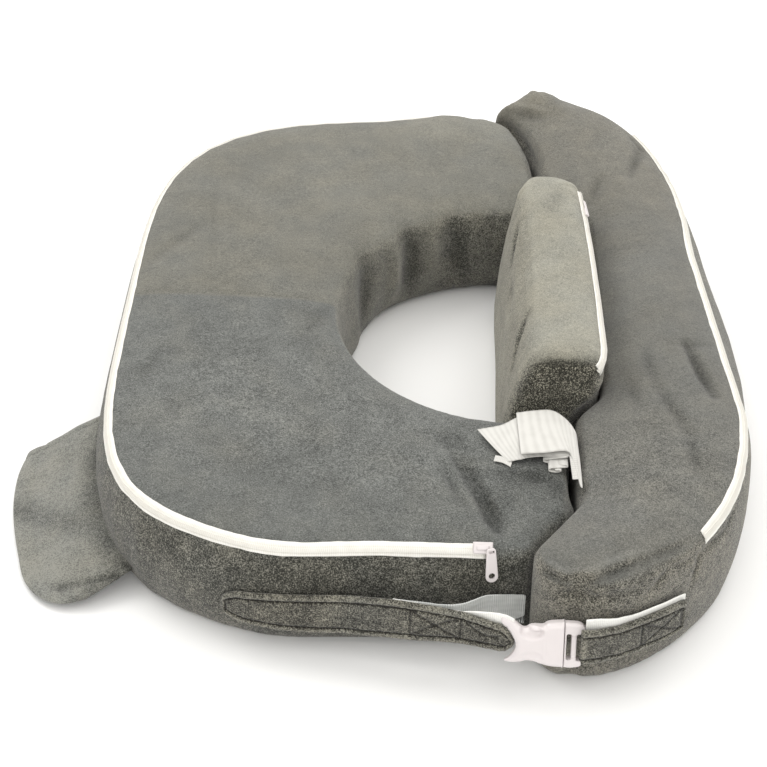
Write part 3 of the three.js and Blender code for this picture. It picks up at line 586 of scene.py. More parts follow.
def trough(creases, spots):
    # how deep the creases press at each point, in millimetres, fading towards their ends
    look = creaseLook
    depth = np.zeros(len(spots))
    for begin, end, width, deep in creases:
        start, run = np.array(begin, float), np.array(end, float) - np.array(begin, float)
        t = np.clip((spots - start) @ run / (run @ run), 0, 1)
        away = np.linalg.norm(spots - start - t[:, None] * run, axis=1)
        fade = look["ends"] + (1 - look["ends"]) * np.sin(np.pi * np.clip(t, 0.05, 0.95))
        depth += look["press"] * deep * fade * np.exp(-((away / width) ** 2))
    return depth


def patches(table, spots):
    total = np.zeros(len(spots))
    for x, y, reachX, reachY, amount in table:
        offX, offY = (spots[:, 0] - x) / reachX, (spots[:, 1] - y) / reachY
        total += amount * np.exp(-(offX**2) - offY**2)
    return total


def frontPileAndShading(want, spots, out, top, nap):
    x, y = spots[:, 0], spots[:, 1]
    wall = 1 - top
    at, wave, turns, blend = want["line"]
    far = smoothStep((y - (at + wave * np.sin(x * turns))) / blend + 0.5)
    nap += top * (want["farNap"] * far + want["nearNap"])
    warm = pileLook["wallWarm"] * wall + top * (want["nearWarm"] + want["farWarm"] * far)
    (middleX, middleY), (reachX, reachY) = want["hole"]
    inHole = np.hypot((x - middleX) / reachX, (y - middleY) / reachY) < 1
    # painted highlight in a band along the hole's rim
    light, slope, width = want["band"]
    nap += light * inHole * np.exp(-(((out[:, 2] - slope) / width) ** 2))
    # painted shade on the walls by the way they face, and painted light on the hole's right-hand wall
    least, more, fromX, overX = want["nearWall"]
    darker = least + more * smoothStep((x - fromX) / overX)
    nap -= np.clip(-out[:, 1], 0, 1) * wall * np.where(inHole, want["holeNear"], darker)
    nap -= want["leftWall"] * np.clip(-out[:, 0], 0, 1) * wall * (~inHole)
    nap += want["holeRight"] * np.clip(out[:, 0], 0, 1) * wall * inHole
    least, more, fromX, overX = want["holeCoarse"]
    calmer = np.where(inHole, least + more * smoothStep((x - fromX) / overX), 1)
    return (wall + top * patches(want["coarse"], spots)) * calmer, nap, warm


def backPileAndShading(want, spots, out, top, nap):
    x, y, z = spots.T
    tipX, blendX, tipY, blendY, tipZ, blendZ = want["tip"]
    tip = smoothStep((tipX - x) / blendX) * smoothStep((y - tipY) / blendY)
    top = np.maximum(top, tip * smoothStep((z - tipZ) / blendZ))
    near, more, fromY, overY = want["warmth"]
    warm = pileLook["wallWarm"] * (1 - top) + top * (near + more * smoothStep((y - fromY) / overY))
    light, fromY, overY = want["farNap"]
    nap += top * light * smoothStep((y - fromY) / overY)
    # painted shade on the near wall
    nap -= want["nearWall"] * np.clip(-out[:, 1], 0, 1) * (1 - top)
    return (1 - top) + top * patches(want["coarse"], spots), nap, warm


def lumbarPileAndShading(want, spots, out, top, nap):
    steep, rough, dark, high = want["nearEnd"]
    near = np.clip(-out[:, 1] * steep, 0, 1)
    coarse = (1 - top) * want["wallCoarse"] + rough * near * (spots[:, 2] < high)
    # painted shade on the near end and on the walls
    nap -= dark * near + want["wallNap"] * (1 - top)
    return coarse, nap, pileLook["wallWarm"] * (1 - top) + want["warmth"]


pileAndShading = {"front": frontPileAndShading, "back": backPileAndShading, "lumbar": lumbarPileAndShading}


def pileAndShadingOf(name, spots, out):
    # how coarse and warm the pile is at each point, and how light, with painted shade and painted highlights by
    # how each part faces
    want = cushions[name]
    top = smoothStep((out[:, 2] - pileLook["topFrom"]) / pileLook["topOver"])
    return pileAndShading[name](want, spots, out, top, patches(want["nap"], spots) * top)


def makeCushion(name):
    want = cushions[name]
    cushion = meshObject(name + "_cover", mergedCopy(want["node"]))
    remesh(cushion, want["voxel"] * mm)
    before, out = points(cushion), normals(cushion)
    standing = before[:, 2] < swelling["standing"] * mm
    setPoints(cushion, before - out * want["shrink"] * mm * (~standing)[:, None])
    swell(cushion, standing, want["pressure"], want["cap"] * mm)
    # the swelled form is drawn back towards the solid's, and never far past it
    shift = (points(cushion) - before) * (1 - want["hold"])
    past = (shift * out).sum(axis=1, keepdims=True)
    setPoints(cushion, before + shift - out * np.maximum(past - swelling["past"] * mm, 0))
    finer(cushion)
    co, out = points(cushion), normals(cushion)
    spots = planned(co)
    deep = trough(want["creases"], spots)
    setPoints(cushion, co - out * (deep * mm)[:, None])
    coarse, nap, warm = pileAndShadingOf(name, spots, normals(cushion))
    # painted shade in the crease troughs and painted highlight on the ridges
    nap -= np.clip(creaseLook["nap"] * deep, creaseLook["least"], creaseLook["most"])
    for key, values in {"coarse": coarse, "nap": nap, "warm": warm}.items():
        setValue(cushion, key, values)
    finish(cushion, name + "_plush", plush[name], want["node"])
    print(name, "cushion made,", len(co), "points")
    return cushion


covers = {name: makeCushion(name) for name in cushions}
graph = bpy.context.evaluated_depsgraph_get()
skins = {name: BVHTree.FromObject(cover, graph) for name, cover in covers.items()}


# Zips: a tape and its coil along the top edge of each cushion, seated on the cover
zips = {
    # "thin" is the share of the width that shows at the far end, and the y where it begins and ends
    # "slope" is which side is out, then how far out and down the tape reaches
    "front": {
        "node": "front_zip", "half": 5.8, "wave": 0.7, "coilAt": -1.0, "thin": (0.5, 330, -190),
        "slope": (-1, 9, 10),
    },
    "back": {
        "node": "back_zip", "half": 6.0, "wave": 0.8, "coilAt": -0.6, "thin": (0.5, 300, 60),
        "slope": (1, 9, 10),
    },
    "lumbar": {
        "node": "lumbar_zip", "half": 5.2, "wave": 0.4, "coilAt": 0.0, "thin": (0.8, 130, 0),
        "slope": (1, 8, 8),
    },
}
tape = {
    "step": 3.0, "across": 14, "wall": 0.7, "lift": 0.75, "turnedIn": 0.5,
    # height and width of the coil's hump, then depth, place and width of the grooves beside it, then how dark,
    # where and how wide the painted shade beside the coil is
    "hump": (1.0, 1.5), "groove": (0.35, 3, 0.9), "dark": (0.5, 2.3, 0.7),
}
tooth = {"pitch": 1.7, "size": (3.2, 1.05, 1.0), "lift": 2.1}  # across, along and up
frontEdge = {
    "middle": (85, 2), "left": 363, "far": 350, "near": 342, "farSquare": 4, "nearSquare": 4.6,
    "farBulge": (32, 48, 15), "nearBulge": (-118, 55, -8), "high": 108,
    "degrees": (93, 267), "ends": (5, 60),  # x where it stops on the far and on the near side
}
backEdge = {
    "farMiddle": (115, 100), "farReach": (142, 290), "farRound": 2.25,
    "nearMiddle": (130, -165), "nearReach": (150, 225), "nearRound": 1.92, "high": 118, "ys": (318, -328),
}
lumbarEdge = [
    # y, how far the top right edge draws in, how far it drops
    (-165.5, 17, 10), (-162.5, 9, 4), (-155, 3.5, 1), (-146, 1, 0), (-134, 0, 0), (-104, 0, 0),
    (-70, 0, 1), (-35, 0.5, 1.5), (0, 1.5, 1.5), (35, 3, 1), (70, 5, 0.5), (105, 8, 0), (128, 11, 0.5),
    (143, 17, 2),
]
lumbarTop = {"x": 161.1, "high": 164, "full": 165, "ys": (128, -162)}


def frontEdgePoint(degrees):
    angle = math.radians(degrees)
    c, s = math.cos(angle), math.sin(angle)
    up, square = (
        (frontEdge["far"], frontEdge["farSquare"]) if s > 0 else (frontEdge["near"], frontEdge["nearSquare"])
    )
    reach = (abs(c / frontEdge["left"]) ** square + abs(s / up) ** square) ** (-1 / square)
    x, y = frontEdge["middle"][0] + reach * c, frontEdge["middle"][1] + reach * s
    at, width, out = frontEdge["farBulge" if s > 0 else "nearBulge"]
    return Vector((x, y + out * bump(x - at, width), frontEdge["high"]))


def roundEnd(middle, reach, turn, y):
    # x on a rounded end of the back cushion
    (middleX, middleY), (reachX, reachY) = middle, reach
    share = clamp(abs(y - middleY) / reachY)
    return middleX + reachX * (1 - share**turn) ** (1 / turn)


def backEdgePoint(y):
    farX, farY = backEdge["farMiddle"]
    nearX, nearY = backEdge["nearMiddle"]
    if y > farY:
        x = roundEnd(backEdge["farMiddle"], backEdge["farReach"], backEdge["farRound"], y)
    elif y < nearY:
        x = roundEnd(backEdge["nearMiddle"], backEdge["nearReach"], backEdge["nearRound"], y)
    else:
        share = (y - nearY) / (farY - nearY)
        x = lerp(nearX + backEdge["nearReach"][0], farX + backEdge["farReach"][0], share)
    return Vector((x, y, backEdge["high"]))


def lumbarEdgePoint(y):
    drawn, drop = along(lumbarEdge, y, 1), along(lumbarEdge, y, 2)
    high, full = lumbarTop["high"], lumbarTop["full"]
    return Vector((lumbarTop["x"] - drawn, y, high * (full - drop) / full))


def edgeLine(corners, slope, step):
    # evenly spaced places on a zip's slope, each with its outward and its upward direction
    side, out, down = slope
    spots = []
    for i, corner in enumerate(corners):
        run = corners[min(i + 1, len(corners) - 1)] - corners[max(i - 1, 0)]
        level = Vector((-run.y, run.x, 0)).normalized() * side
        rise = (Vector((0, 0, down)) - level * out).normalized()
        spots.append((corner + level * out / 2 - Vector((0, 0, down / 2)), level, rise))
    length = lengthsAlong([spot for spot, _, _ in spots])
    line, i = [], 0
    for number in range(int(length[-1] / step) + 1):
        at = number * step
        while i < len(spots) - 2 and length[i + 1] < at:
            i += 1
        t = (at - length[i]) / max(length[i + 1] - length[i], 1e-9)
        spot, level, rise = (a.lerp(b, t) for a, b in zip(spots[i], spots[i + 1]))
        forward = (spots[i + 1][0] - spots[i][0]).normalized()
        level.normalize()
        rise = (rise - forward * rise.dot(forward)).normalized()
        outward = rise.cross(forward)
        outward *= 1 if outward.dot(level) > 0 else -1
        line.append((at, place(*spot), outward.normalized(), rise))
    return line


def seat(skin, spot, outward, lift):
    hit = skin.ray_cast(spot + outward * 0.02, -outward, 0.05)[0]
    return (hit or spot) + outward * lift * mm


def makeTapeSheet(name, line):
    want, skin = zips[name], skins[name]
    (humpHigh, humpWide), (deep, grooveAt, grooveWide) = tape["hump"], tape["groove"]
    dark, darkAt, darkWide = tape["dark"]
    least, farY, nearY = want["thin"]
    bm = bmesh.new()
    bmesh.ops.create_grid(bm, x_segments=len(line) - 1, y_segments=tape["across"], size=0.5)
    run, over, nap = (bm.verts.layers.float.new(key) for key in ("run", "over", "nap"))
    for v in bm.verts:
        at, spot, outward, rise = line[round((v.co.x + 0.5) * (len(line) - 1))]
        share = v.co.y * 2
        ragged = want["wave"] * (wobble(at * 0.035, 3 * share, 7.1) + 0.6 * wobble(at * 0.11, 5 * share))
        shown = lerp(1, least, ease(((spot.y / mm - planShift.y) - nearY) / (farY - nearY)))
        w = share * want["half"] * shown + ragged * abs(share)
        away = abs(w - want["coilAt"])
        hump = humpHigh * bump(away, humpWide) - deep * bump(away - grooveAt, grooveWide)
        lift = tape["lift"] + hump - tape["turnedIn"] * ease(abs(share) * 8 - 7)
        v.co = seat(skin, spot + rise * w * mm, outward, lift)
        # painted shade in a line beside the coil
        v[run], v[over], v[nap] = at, w, -dark * bump(away - darkAt, darkWide)
    faceOut(bm, line)
    sheet = meshObject(name + "_zip_tape", bm)
    wall = sheet.modifiers.new("thickness", "SOLIDIFY")
    wall.thickness, wall.offset = tape["wall"] * mm, 0
    bake(sheet)
    return sheet


def makeZip(name, corners):
    want = zips[name]
    line = edgeLine(corners, want["slope"], tape["step"])
    sheet = finish(makeTapeSheet(name, line), "zip_tape", woven["zip_tape"], want["node"])
    size = Matrix.Diagonal([length * mm for length in tooth["size"]]).to_4x4()
    bm = bmesh.new()
    for at, spot, outward, rise in edgeLine(corners, want["slope"], tooth["pitch"]):
        middle = seat(skins[name], spot + rise * want["coilAt"] * mm, outward, tooth["lift"])
        axes = Matrix((rise, outward.cross(rise), outward)).transposed().to_4x4()
        bmesh.ops.create_cube(bm, size=1, matrix=Matrix.Translation(middle) @ axes @ size)
    finish(meshObject(name + "_zip_teeth", bm, False), "zip_tape", moulded["zip_teeth"])
    return line


def faceOut(bm, line):
    # a single sheet's faces look the way that its zip does
    face = max(bm.faces, key=lambda f: f.calc_area())
    near = min(line, key=lambda row: (row[1] - face.calc_center_median()).length)
    bm.normal_update()
    if face.normal.dot(near[2]) < 0:
        bmesh.ops.reverse_faces(bm, faces=bm.faces)


def zipCorners():
    low, high = frontEdge["degrees"]
    farEnd, nearEnd = frontEdge["ends"]
    front = [frontEdgePoint(low + step / 2) for step in range(2 * (high - low) + 1)]
    made = {"front": [p for p in front if p.x < (farEnd if p.y > 0 else nearEnd)]}
    for name, point, (far, near) in (
        ("back", backEdgePoint, backEdge["ys"]), ("lumbar", lumbarEdgePoint, lumbarTop["ys"])
    ):
        made[name] = [point(y) for y in range(far, near - 1, -2)]
    return made


zipLines = {name: makeZip(name, corners) for name, corners in zipCorners().items()}
print("zips made")


# Zip slider with its puller, and the small slider at the lumbar zip's far end
slider = {
    "x": 53.2, "length": 16.5, "width": 10, "thick": 4.0, "up": 2.6, "lift": 1.2,
    "boxes": [
        # size as shares of length, width and thickness, place as the same shares, rounding
        ((1, 1, 0.42), (0, 0, 0.2), 0.7), ((0.92, 0.94, 0.42), (0, 0, 0.78), 0.8),
        ((0.5, 0.3, 0.7), (-0.12, 0, 0.5), 0.6), ((0.6, 0.42, 0.5), (-0.02, 0.02, 1.15), 1.0),
        ((0.13333, 0.42, 0.95), (0.4, -0.04, 0.95), 0.9),
    ],
}
puller = {
    "length": 29, "width": 10.5, "thick": 1.8, "soft": 0.5, "lean": 15, "swing": 12,
    "shoulder": 0.72, "neck": (0.45, 1.6), "hole": 5.4, "holeUp": 0.6, "holeDeep": 6,
    "slot": ((0.4, -1.6), (4.6, 2.6, 6)),  # place, then size
}
lumbarTab = {
    "y": 100, "length": 26, "width": 4.2, "lift": 3.4,
    "boxes": [
        # size as shares of width, length and 1 mm, place as the same shares, rounding
        ((1, 0.45, 2.2), (0, -0.25, 0), 0.7), ((0.72, 0.55, 1.3), (0, 0.2, 0.5), 0.5),
    ],
}
cutterSoft = 0.5


def softBox(bm, size, at, soft):
    # a box with rounded edges, in millimetres
    made = bmesh.ops.create_cube(bm, size=1)["verts"]
    bmesh.ops.scale(bm, vec=Vector(size) * mm, verts=made)
    edges = list({edge for v in made for edge in v.link_edges})
    made = bmesh.ops.bevel(
        bm, geom=edges, offset=soft * mm, affect="EDGES", segments=3, profile=0.5, material=-1,
        clamp_overlap=True,
    )["verts"]
    bmesh.ops.translate(bm, vec=Vector(at) * mm, verts=list(set(made)))


def softBoxes(name, table, unit):
    # boxes whose sizes and places are shares of the unit's three lengths
    bm = bmesh.new()
    for size, at, soft in table:
        softBox(bm, [a * b for a, b in zip(size, unit)], [a * b for a, b in zip(at, unit)], soft)
    return meshObject(name, bm)


def plate(outline, thick, soft):
    # a flat plate about z 0 from its outline, with rounded rims, in millimetres
    bm = bmesh.new()
    rim = [bm.verts.new((x * mm, y * mm, -thick / 2 * mm)) for x, y in outline]
    face = bm.faces.new(rim)
    grown = bmesh.ops.extrude_face_region(bm, geom=[face])["geom"]
    lifted = [v for v in grown if isinstance(v, bmesh.types.BMVert)]
    bmesh.ops.translate(bm, verts=lifted, vec=(0, 0, thick * mm))
    bmesh.ops.recalc_face_normals(bm, faces=bm.faces)
    if soft:
        level = [edge for edge in bm.edges if abs(edge.verts[0].co.z - edge.verts[1].co.z) < 1e-9]
        bmesh.ops.bevel(bm, geom=level, offset=soft * mm, affect="EDGES", segments=3, profile=0.5, material=-1)
    return bm


def carve(thing, cutter):
    step = thing.modifiers.new("cut", "BOOLEAN")
    step.operation, step.solver, step.object = "DIFFERENCE", "EXACT", cutter
    bake(thing)
    bpy.data.objects.remove(cutter)


def carveBox(thing, at, size):
    bm = bmesh.new()
    softBox(bm, size, (*at, 0), cutterSoft)
    carve(thing, meshObject("gap", bm))


def crisp(thing):
    # flat faces stay flat beside rounded rims
    thing.data.set_sharp_from_angle(angle=math.radians(38))


def putAt(thing, matrix):
    thing.data.transform(matrix)
    if matrix.determinant() < 0:
        thing.data.flip_normals()


def makeSlider():
    x = place(slider["x"], 0).x
    spot, outward, rise = min(zipLines["front"], key=lambda row: abs(row[1].x - x) + (row[1].y > 0))[1:]
    spot = Vector((x, spot.y, spot.z)) + rise * slider["up"] * mm
    axes = Matrix(((1, 0, 0), rise, outward)).transposed().to_4x4()
    body = softBoxes(
        "front_slider_body", slider["boxes"], (slider["length"], slider["width"], slider["thick"])
    )
    putAt(body, Matrix.Translation(seat(skins["front"], spot, outward, slider["lift"])) @ axes)
    crisp(body)
    finish(body, "buckle_plastic", moulded["white_plastic"], "front_zip_slider")


def makePuller():
    half = puller["width"] / 2
    low = -puller["length"] + half
    shoulder, (neck, neckHigh) = half * puller["shoulder"], puller["neck"]
    outline = [(-shoulder, 0), (-half * neck, neckHigh), (half * neck, neckHigh), (shoulder, 0), (half, low)]
    for degrees in range(15, 166, 15):
        angle = math.radians(degrees)
        outline.append((half * math.cos(angle), low - half * math.sin(angle)))
    outline.append((-half, low))
    tab = meshObject("front_zip_tab", plate(outline, puller["thick"], puller["soft"]))
    bm = bmesh.new()
    radius = puller["hole"] / 2 * mm
    deep = puller["holeDeep"] * mm
    bmesh.ops.create_cone(bm, cap_ends=True, segments=28, radius1=radius, radius2=radius, depth=deep)
    bmesh.ops.translate(bm, verts=bm.verts, vec=(0, (low + puller["holeUp"]) * mm, 0))
    carve(tab, meshObject("drill", bm))
    carveBox(tab, *puller["slot"])
    angles = (math.pi / 2 - math.radians(puller["lean"]), 0, math.radians(puller["swing"]))
    putAt(tab, Euler(angles, "XYZ").to_matrix().to_4x4())
    co = points(tab)
    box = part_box("front_zip_puller")
    putAt(tab, Matrix.Translation((box[0] + box[1]) / 2 - Vector((co.min(0) + co.max(0)) / 2)))
    crisp(tab)
    finish(tab, "buckle_plastic", moulded["white_plastic"], "front_zip_puller")


def makeLumbarTab():
    y = place(0, lumbarTab["y"]).y
    spot, outward, rise = min(zipLines["lumbar"], key=lambda row: abs(row[1].y - y))[1:]
    axes = Matrix((rise, rise.cross(outward), outward)).transposed().to_4x4()
    tab = softBoxes("lumbar_slider", lumbarTab["boxes"], (lumbarTab["width"], lumbarTab["length"], 1))
    putAt(tab, Matrix.Translation(seat(skins["lumbar"], spot, outward, lumbarTab["lift"])) @ axes)
    crisp(tab)
    finish(tab, "buckle_plastic", moulded["white_plastic"], "lumbar_zip_slider")


makeSlider()
makePuller()
makeLumbarTab()
print("sliders made")


# Straps: plush bands with a rolled, stitched border, and the webbing on their backs
frontStrap = {
    "node": "front_strap", "y": -385, "thick": 2.3, "inset": 6.6, "flat": (0.043, 0.262),
    "rows": [
        # x, low, high
        (-162.5, 42, 49), (-161, 37.5, 53), (-158, 33.5, 56.5), (-154, 31, 59.5), (-148, 29.3, 62),
        (-140, 28.2, 63.3), (-130, 27.5, 64.7), (-112, 26.5, 66.2), (-95, 26.5, 67.2), (-79, 27.2, 69),
        (-62, 29.3, 71), (-45, 30.7, 73.5), (-29, 33, 75.5), (-12, 35, 77), (3, 37.2, 77.8), (20, 41, 78.5),
        (38, 44, 78.5), (46, 44.3, 77.3), (52, 44.5, 76.5), (60, 44.4, 74.5), (68, 44.4, 73.8),
        (73, 46, 70.5),
        (77.5, 50.5, 63), (79.5, 54, 59),
    ],
    # the sewn box from x to x, then a crease beyond it by x and share of the height
    "box": (-4, 37), "fold": [(38, 0.81), (48, 0.5), (58, 0.34), (67.5, 0.45)],
    "steps": 260, "smoothing": 2, "side": 1,
}
backStrap = {
    "node": "back_strap", "thick": 3.0, "inset": 6.0, "flat": (0.042, 0.092),
    "rows": [
        # turn round the near end of the cushion, low, high
        (56.5, 41, 71), (58, 39.5, 72), (60.5, 38.5, 73), (64, 38, 73.5), (69, 38, 73.5), (74, 38.3, 74),
        (79, 39, 74.5), (83, 41, 76.5), (87, 42.5, 78.5), (89.6, 42.5, 79),
    ],
    "box": (58.5, 71.5),
    # turn, x and y of the middle where the end lies over the plug's bar
    "lead": [(82, 150, -403.5), (85, 142.5, -407), (88, 135.5, -408.7), (91, 129, -409)],
    "steps": 110, "smoothing": 8, "side": -1,
}
strapLook = {
    "around": 108, "rim": 2.4, "border": 1.18, "flatness": 0.6, "middle": 0.82,
    "waver": 0.22, "edgeWaver": 0.35,
    # depth of the border's stitches, of the cross, of the box's ends and of the crease
    "stitches": 1.15, "cross": 0.8, "ends": 0.9, "crease": 0.9,
    # lightness of the rolled edge, then the painted shade of a stitched line, then the lightness of the rest
    "rolled": 0.26, "sunk": 0.75, "rest": -0.1,
}
webbings = {
    # rows of x or turn, low and high
    "front_strap_backing": {
        "node": "front_strap_webbing", "slot": "webbing", "steps": 90, "flat": (0.039, 0.095), "ribbed": 0.0,
        "rows": [
            (-19, 40, 75), (-9, 40, 75), (11, 43, 75.5), (31, 45, 76), (38, 46, 76.5), (43, 46, 78.3),
            (51, 46, 80),
            (59, 46, 81.5), (67, 47, 82.5), (73, 49, 82.5), (79, 52, 80),
        ],
    },
    "back_strap_backing": {
        "node": "back_strap_webbing", "slot": "webbing", "steps": 80, "flat": (0.04, 0.09), "ribbed": 0.0,
        "rows": [
            (56, 44, 74.5), (58, 41, 76), (60.5, 41, 77), (64, 41, 77.5), (69, 41, 77.5), (74, 41, 78),
            (79, 42, 81),
            (84, 44, 84.5), (88, 44, 85.5),
        ],
    },
    "elastic_band": {
        "node": "elastic_webbing", "slot": "elastic", "steps": 150, "flat": (0.035, 0.095), "ribbed": 1.0,
        "route": [
            # x and y of the middle, for each row
            (-14, -369.5), (4, -375), (22, -381.2), (34, -381.5), (45, -374.5), (57, -366), (68, -360),
            (82, -353.6),
            (90, -350),
        ],
        "rows": [
            (0, 45, 70.5), (1, 42, 73.3), (2, 42, 77.5), (3, 42, 78.5), (4, 41, 76.5), (5, 40, 74.5),
            (6, 37, 70.5),
            (7, 33, 64.5), (8, 29, 60.5),
        ],
    },
}
webbingLook = {
    "around": 40, "half": 0.55, "rim": 0.8, "selvage": (0.12, 1.2, 0.8), "wave": 0.5, "edgeWave": 0.25,
    "rib": 0.22, "ribPitch": 2.2, "ribTone": 0.5,
}


def bandAround(name, steps, around, section):
    # a closed band: the section goes round from 0 to 1 at each place along, from 0 to 1
    bm = bmesh.new()
    bmesh.ops.create_grid(bm, x_segments=steps, y_segments=around, size=0.5)
    layers = {key: bm.verts.layers.float.new(key) for key in ("run", "over", "coarse", "nap")}
    for v in bm.verts:
        spot, values = section(v.co.x + 0.5, v.co.y + 0.5)
        v.co = spot
        for key, value in values.items():
            v[layers[key]] = value
    bmesh.ops.remove_doubles(bm, verts=bm.verts, dist=1e-6)
    bmesh.ops.holes_fill(bm, edges=[edge for edge in bm.edges if edge.is_boundary], sides=0)
    bmesh.ops.recalc_face_normals(bm, faces=bm.faces)
    return meshObject(name, bm)


def between(tree, spot, inward):
    # the middle of a thin solid along a line through it
    near = tree.ray_cast(spot - inward * 0.12, inward, 0.24)[0]
    far = tree.ray_cast(spot + inward * 0.12, -inward, 0.24)[0]
    return (near + far) / 2 if near and far else None


def routeOf(node, looks):
    # middle places of a CAD band, where each look is a place and a direction through it
    bm = mergedCopy(node)
    tree = BVHTree.FromBMesh(bm)
    bm.free()
    return [between(tree, spot, inward) for spot, inward in looks]


def frontLook(x, z):
    return place(x, frontStrap["y"], z), Vector((0, 1, 0))


def backLook(turn, z):
    c, s = math.cos(math.radians(turn)), math.sin(math.radians(turn))
    (middleX, middleY), (reachX, reachY) = backEdge["nearMiddle"], backEdge["nearReach"]
    level = Vector((c / reachX, -s / reachY, 0)).normalized()
    return place(middleX + reachX * c, middleY - reachY * s, z), -level


def filled(route):
    # fills the places that a look missed, and runs on past a route's ends
    known = [i for i, spot in enumerate(route) if spot]
    known = known if len(known) == len(route) else known[1:-1]
    (first, inner), (last, before) = (known[0], known[4]), (known[-1], known[-5])
    for i in range(len(route)):
        if i < first:
            route[i] = route[first] + (route[first] - route[inner]) / (inner - first) * (first - i)
        elif i > last:
            route[i] = route[last] + (route[last] - route[before]) / (last - before) * (i - last)
        elif i not in known:
            low, high = max(j for j in known if j < i), min(j for j in known if j > i)
            route[i] = route[low].lerp(route[high], (i - low) / (high - low))
    return route


def smoothed(route, times=2):
    for _ in range(times):
        inner = [(a + 2 * b + c) / 4 for a, b, c in zip(route, route[1:], route[2:])]
        route = [route[0], *inner, route[-1]]
    return route


def sideways(route, i):
    run = route[min(i + 1, len(route) - 1)] - route[max(i - 1, 0)]
    return Vector((run.y, -run.x, 0)).normalized()


def spread(rows, steps):
    # even places along a table, with the low and the high edge at each
    ats = [lerp(rows[0][0], rows[-1][0], i / steps) for i in range(steps + 1)]
    return ats, [along(rows, at, 1) for at in ats], [along(rows, at, 2) for at in ats]


def acrossBand(low, high, turn):
    # the place across a band, half its height and the face, as the section goes round
    half = (high - low) / 2
    return -half * math.cos(2 * math.pi * turn), half, 1 if turn <= 0.5 else -1


def makeStrap(name, want, look, slotName):
    steps, inset = want["steps"], want["inset"]
    ats, lows, highs = spread(want["rows"], steps)
    route = routeOf(want["node"], [look(at, (low + high) / 2) for at, low, high in zip(ats, lows, highs)])
    lead = want.get("lead", [])
    for i, at in enumerate(ats):
        if lead and at > lead[0][0]:
            route[i] = place(along(lead, at, 1), along(lead, at, 2), (lows[i] + highs[i]) / 2)
    route = smoothed(filled(route), want["smoothing"])
    length = lengthsAlong(route, mm)
    boxEnds = (min(range(steps + 1), key=lambda i: abs(ats[i] - at)) for at in want["box"])
    boxFrom, boxTo = sorted(length[i] for i in boxEnds)
    fold = want.get("fold")

    def dipAt(i, v, half):
        # stitched lines: the border, then the box with its cross, then the crease
        run, away = length[i], half - abs(v)
        dip = strapLook["stitches"] * bump(min(away, run + 1.5) - inset, 0.9)
        if away > inset:
            dip += strapLook["ends"] * (bump(run - boxFrom, 0.8) + bump(run - boxTo, 0.8))
            if boxFrom < run < boxTo:
                t, u = (run - boxFrom) / (boxTo - boxFrom) * 2 - 1, v / (half - inset)
                dip += strapLook["cross"] * (bump((t - u) * 9, 1.0) + bump((t + u) * 9, 1.0))
        if fold and away > 2 and fold[0][0] < ats[i] < fold[-1][0]:
            share = along(fold, ats[i], 1) * 1.6 - 0.6
            dip += strapLook["crease"] * bump((v / half - share) * half, 1.3)
        return dip

    def section(share, turn):
        i = round(share * steps)
        v, half, face = acrossBand(lows[i], highs[i], turn)
        edge = min(half - abs(v), length[i], length[-1] - length[i])
        rim = rounded(edge / strapLook["rim"])
        puff = 1.0 if edge > inset else strapLook["border"] * math.sin(math.pi * (0.22 + 0.56 * edge / inset))
        thick = want["thick"] * rim * lerp(strapLook["middle"], puff, strapLook["flatness"])
        dip = dipAt(i, v, half) if face > 0 else 0
        off = face * thick - dip * rim
        off += strapLook["waver"] * rim * wobble(length[i] * 0.55, v * 0.55, face)
        up = v + strapLook["edgeWaver"] * wobble(length[i] * 0.25, face * 3)
        spot = route[i] + sideways(route, i) * want["side"] * off * mm + Vector((0, 0, up * mm))
        nap = 0.0
        if face > 0:
            # the stitched lines are darkened as painted shade
            nap = strapLook["rest"] + strapLook["rolled"] * bump(edge - 3, 2.6)
            nap -= strapLook["sunk"] * clamp(dip * 0.8)
        return spot, {"run": length[i], "over": v, "coarse": 1.0, "nap": nap}

    strap = bandAround(name, steps, strapLook["around"], section)
    finish(strap, slotName, plush["strap"], want["node"])


def makeWebbing(name, look=None):
    want = webbings[name]
    steps, ribbed = want["steps"], want["ribbed"]
    ats, lows, highs = spread(want["rows"], steps)
    if look:
        middles = [look(at, (low + high) / 2) for at, low, high in zip(ats, lows, highs)]
        route = smoothed(filled(routeOf(want["node"], middles)))
    else:
        rows = [(x, y, 0) for x, y in want["route"]]
        route = [place(*smoothRow(rows, i / steps)) for i in range(steps + 1)]
    length = lengthsAlong(route, mm)
    high, at, wide = webbingLook["selvage"]

    def section(share, turn):
        i = round(share * steps)
        v, half, face = acrossBand(lows[i], highs[i], turn)
        edge = half - abs(v)
        rib = ribbed * webbingLook["rib"] * math.sin(length[i] * 2 * math.pi / webbingLook["ribPitch"])
        thick = webbingLook["half"] + rib + high * bump(edge - at, wide)
        off = face * thick * rounded(edge / webbingLook["rim"])
        wave = webbingLook["wave"] * wobble(length[i] * 0.05, v * 0.02, 5) * (1 + ribbed)
        spot = route[i] + sideways(route, i) * (off + wave) * mm
        middle = (lows[i] + highs[i]) / 2
        spot.z = (middle + v + webbingLook["edgeWave"] * wobble(length[i] * 0.2, face)) * mm
        return spot, {"run": length[i], "over": v, "nap": ribbed * webbingLook["ribTone"] * rib}

    band = bandAround(name, steps, webbingLook["around"], section)
    finish(band, want["slot"], woven[want["slot"]], want["node"])


makeStrap("front_strap_plush", frontStrap, frontLook, "front_plush")
makeStrap("back_strap_plush", backStrap, backLook, "back_plush")
makeWebbing("front_strap_backing", frontLook)
makeWebbing("back_strap_backing", backLook)
makeWebbing("elastic_band")
print("straps, webbing and elastic made")


